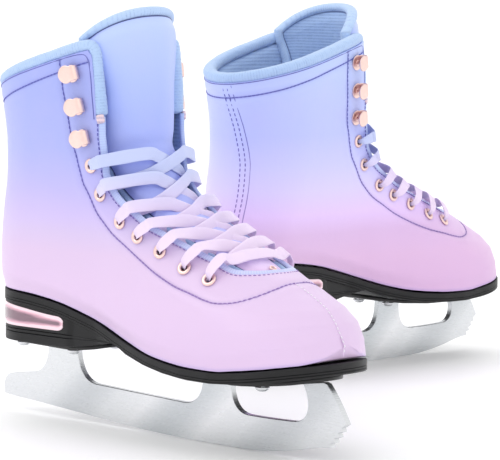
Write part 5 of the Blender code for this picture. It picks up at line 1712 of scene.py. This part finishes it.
# ------------------------------------------------------------------ footbed
def footbed(side):
    """Soft footbed inside the lining."""
    def half(u):
        w = float(np.interp(u, SOLE_U, SOLE_W)) - 12.5
        if u < 48:
            return 19 * math.sqrt(max(0.0, 1 - ((48 - u) / 21.5) ** 2))
        if u > 230:
            return 30 * math.sqrt(max(0.0, 1 - ((u - 230) / 32.0) ** 2))
        return w if u > 60 else min(w, 19.0)
    base = LEATHER + LINE_GAP + PAD + GAP + 2.9
    lv = [(offset(sole_top, base + h), inset) for h, inset in (
        (3.0, 7.0), (3.2, 3.5), (3.4, 1.2), (2.9, 0.3), (1.6, 0.0), (0.5, 0.3), (0.0, 1.0))]
    V, F = puck(half, 26.6, 261.8, 2.4, lv)
    ob = piece(side, "insole", V, F, M["bed"], tex=V, tone=np.zeros(len(V)), replaces=["insole"])


def throat_rivet(side):
    """One small rivet on the tongue at the bottom of the throat."""
    p, n = over_tongue(15.35, 0.0, 0.6)
    V, F = lathe(p, n, [(2.3, 0.0), (2.35, 0.4), (2.0, 0.8), (1.5, 0.85), (1.2, 0.4), (1.2, 0.0)], 20)
    piece(side, "throat_rivet", V, F, M["gold"], tex=V, sharp=60)


for side in SIDES:
    for build in (upper, seams, lining, binding, edge_tape, tongue, lace, eyelets, hooks, outsole, window,
                  plates,
                  screws, blade, footbed, throat_rivet):
        build(side)


# ------------------------------------------------------------------ stage, light, camera
FLOOR_REACH = 14.0           # metres to the floor's sides and front
WALL_AT = 9.0                # where the floor starts to curve up behind
COVE_R = 1.5
WALL_TOP = 10.0
FLOOR_DROP = 0.0006
FLOOR_TURN = 0.759306


def stage_floor():
    """Plain pale floor that curves up into a wall behind."""
    mt = Mat("studio_floor", Roughness=0.6, Emission_Color=(1, 1, 1, 1), Emission_Strength=0.10)
    co = mt.nd("TexCoord").outputs["Object"]
    mt.color(mt.ramp(mt.noise(co, 3.0, 2.0), [(0.3, (0.93, 0.93, 0.935)), (0.7, (0.95, 0.95, 0.955))]))
    mt.bump((mt.noise(co, 900.0, 2.0), 0.03, 0.0002))
    cove = [(WALL_AT + COVE_R * math.sin(a), COVE_R - COVE_R * math.cos(a))
            for a in np.linspace(0.1, 1.57, 14)]
    prof = [(-FLOOR_REACH, 0.0), (WALL_AT, 0.0)] + cove + [(WALL_AT + COVE_R, WALL_TOP)]
    V = [(x, y, z - FLOOR_DROP) for x in (-FLOOR_REACH, FLOOR_REACH) for y, z in prof]
    m = len(prof)
    F = [[i, i + 1, m + i + 1, m + i] for i in range(m - 1)]
    me = bpy.data.meshes.new("studio_floor")
    me.from_pydata(V, [], F)
    me.polygons.foreach_set("use_smooth", np.ones(len(F), bool))
    me.materials.append(mt.m)
    ob = bpy.data.objects.new("studio_floor", me)
    bpy.context.scene.collection.objects.link(ob)
    ob.rotation_euler = (0, 0, FLOOR_TURN)


def area(name, loc, target, size, energy):
    """Soft box light of a square size aimed at a point."""
    li = bpy.data.lights.new(name, "AREA")
    li.shape = "RECTANGLE"
    li.size = li.size_y = size
    li.energy = energy
    ob = bpy.data.objects.new(name, li)
    bpy.context.scene.collection.objects.link(ob)
    ob.location = loc
    ob.rotation_euler = (Vector(target) - Vector(loc)).to_track_quat("-Z", "Y").to_euler()


stage_floor()
CAM = Vector((1.144798, -1.326038, 0.27205))
CAM_ROT = (1.477218, -0.009561, 0.75725)
MID = (0.0, 0.0, 0.12)
area("key", (-0.9, -1.5, 1.7), MID, 1.2, 8.0)
area("fill", (2.0, -0.4, 1.3), MID, 1.4, 2.0)
area("back", (-1.2, 1.4, 2.2), MID, 1.6, 5.0)

world = bpy.data.worlds.new("studio")
bpy.context.scene.world = world
world.use_nodes = True
bg = world.node_tree.nodes["Background"]
bg.inputs["Color"].default_value = (1.0, 1.0, 1.0, 1)
bg.inputs["Strength"].default_value = 1.08

cam = bpy.data.cameras.new("camera")
cam.lens = 196.4
cam.sensor_width = 36.0
cam.clip_start = 0.01
cam_ob = bpy.data.objects.new("camera", cam)
bpy.context.scene.collection.objects.link(cam_ob)
cam_ob.location = CAM
cam_ob.rotation_euler = CAM_ROT
bpy.context.scene.camera = cam_ob
bpy.context.scene.view_settings.view_transform = "Standard"
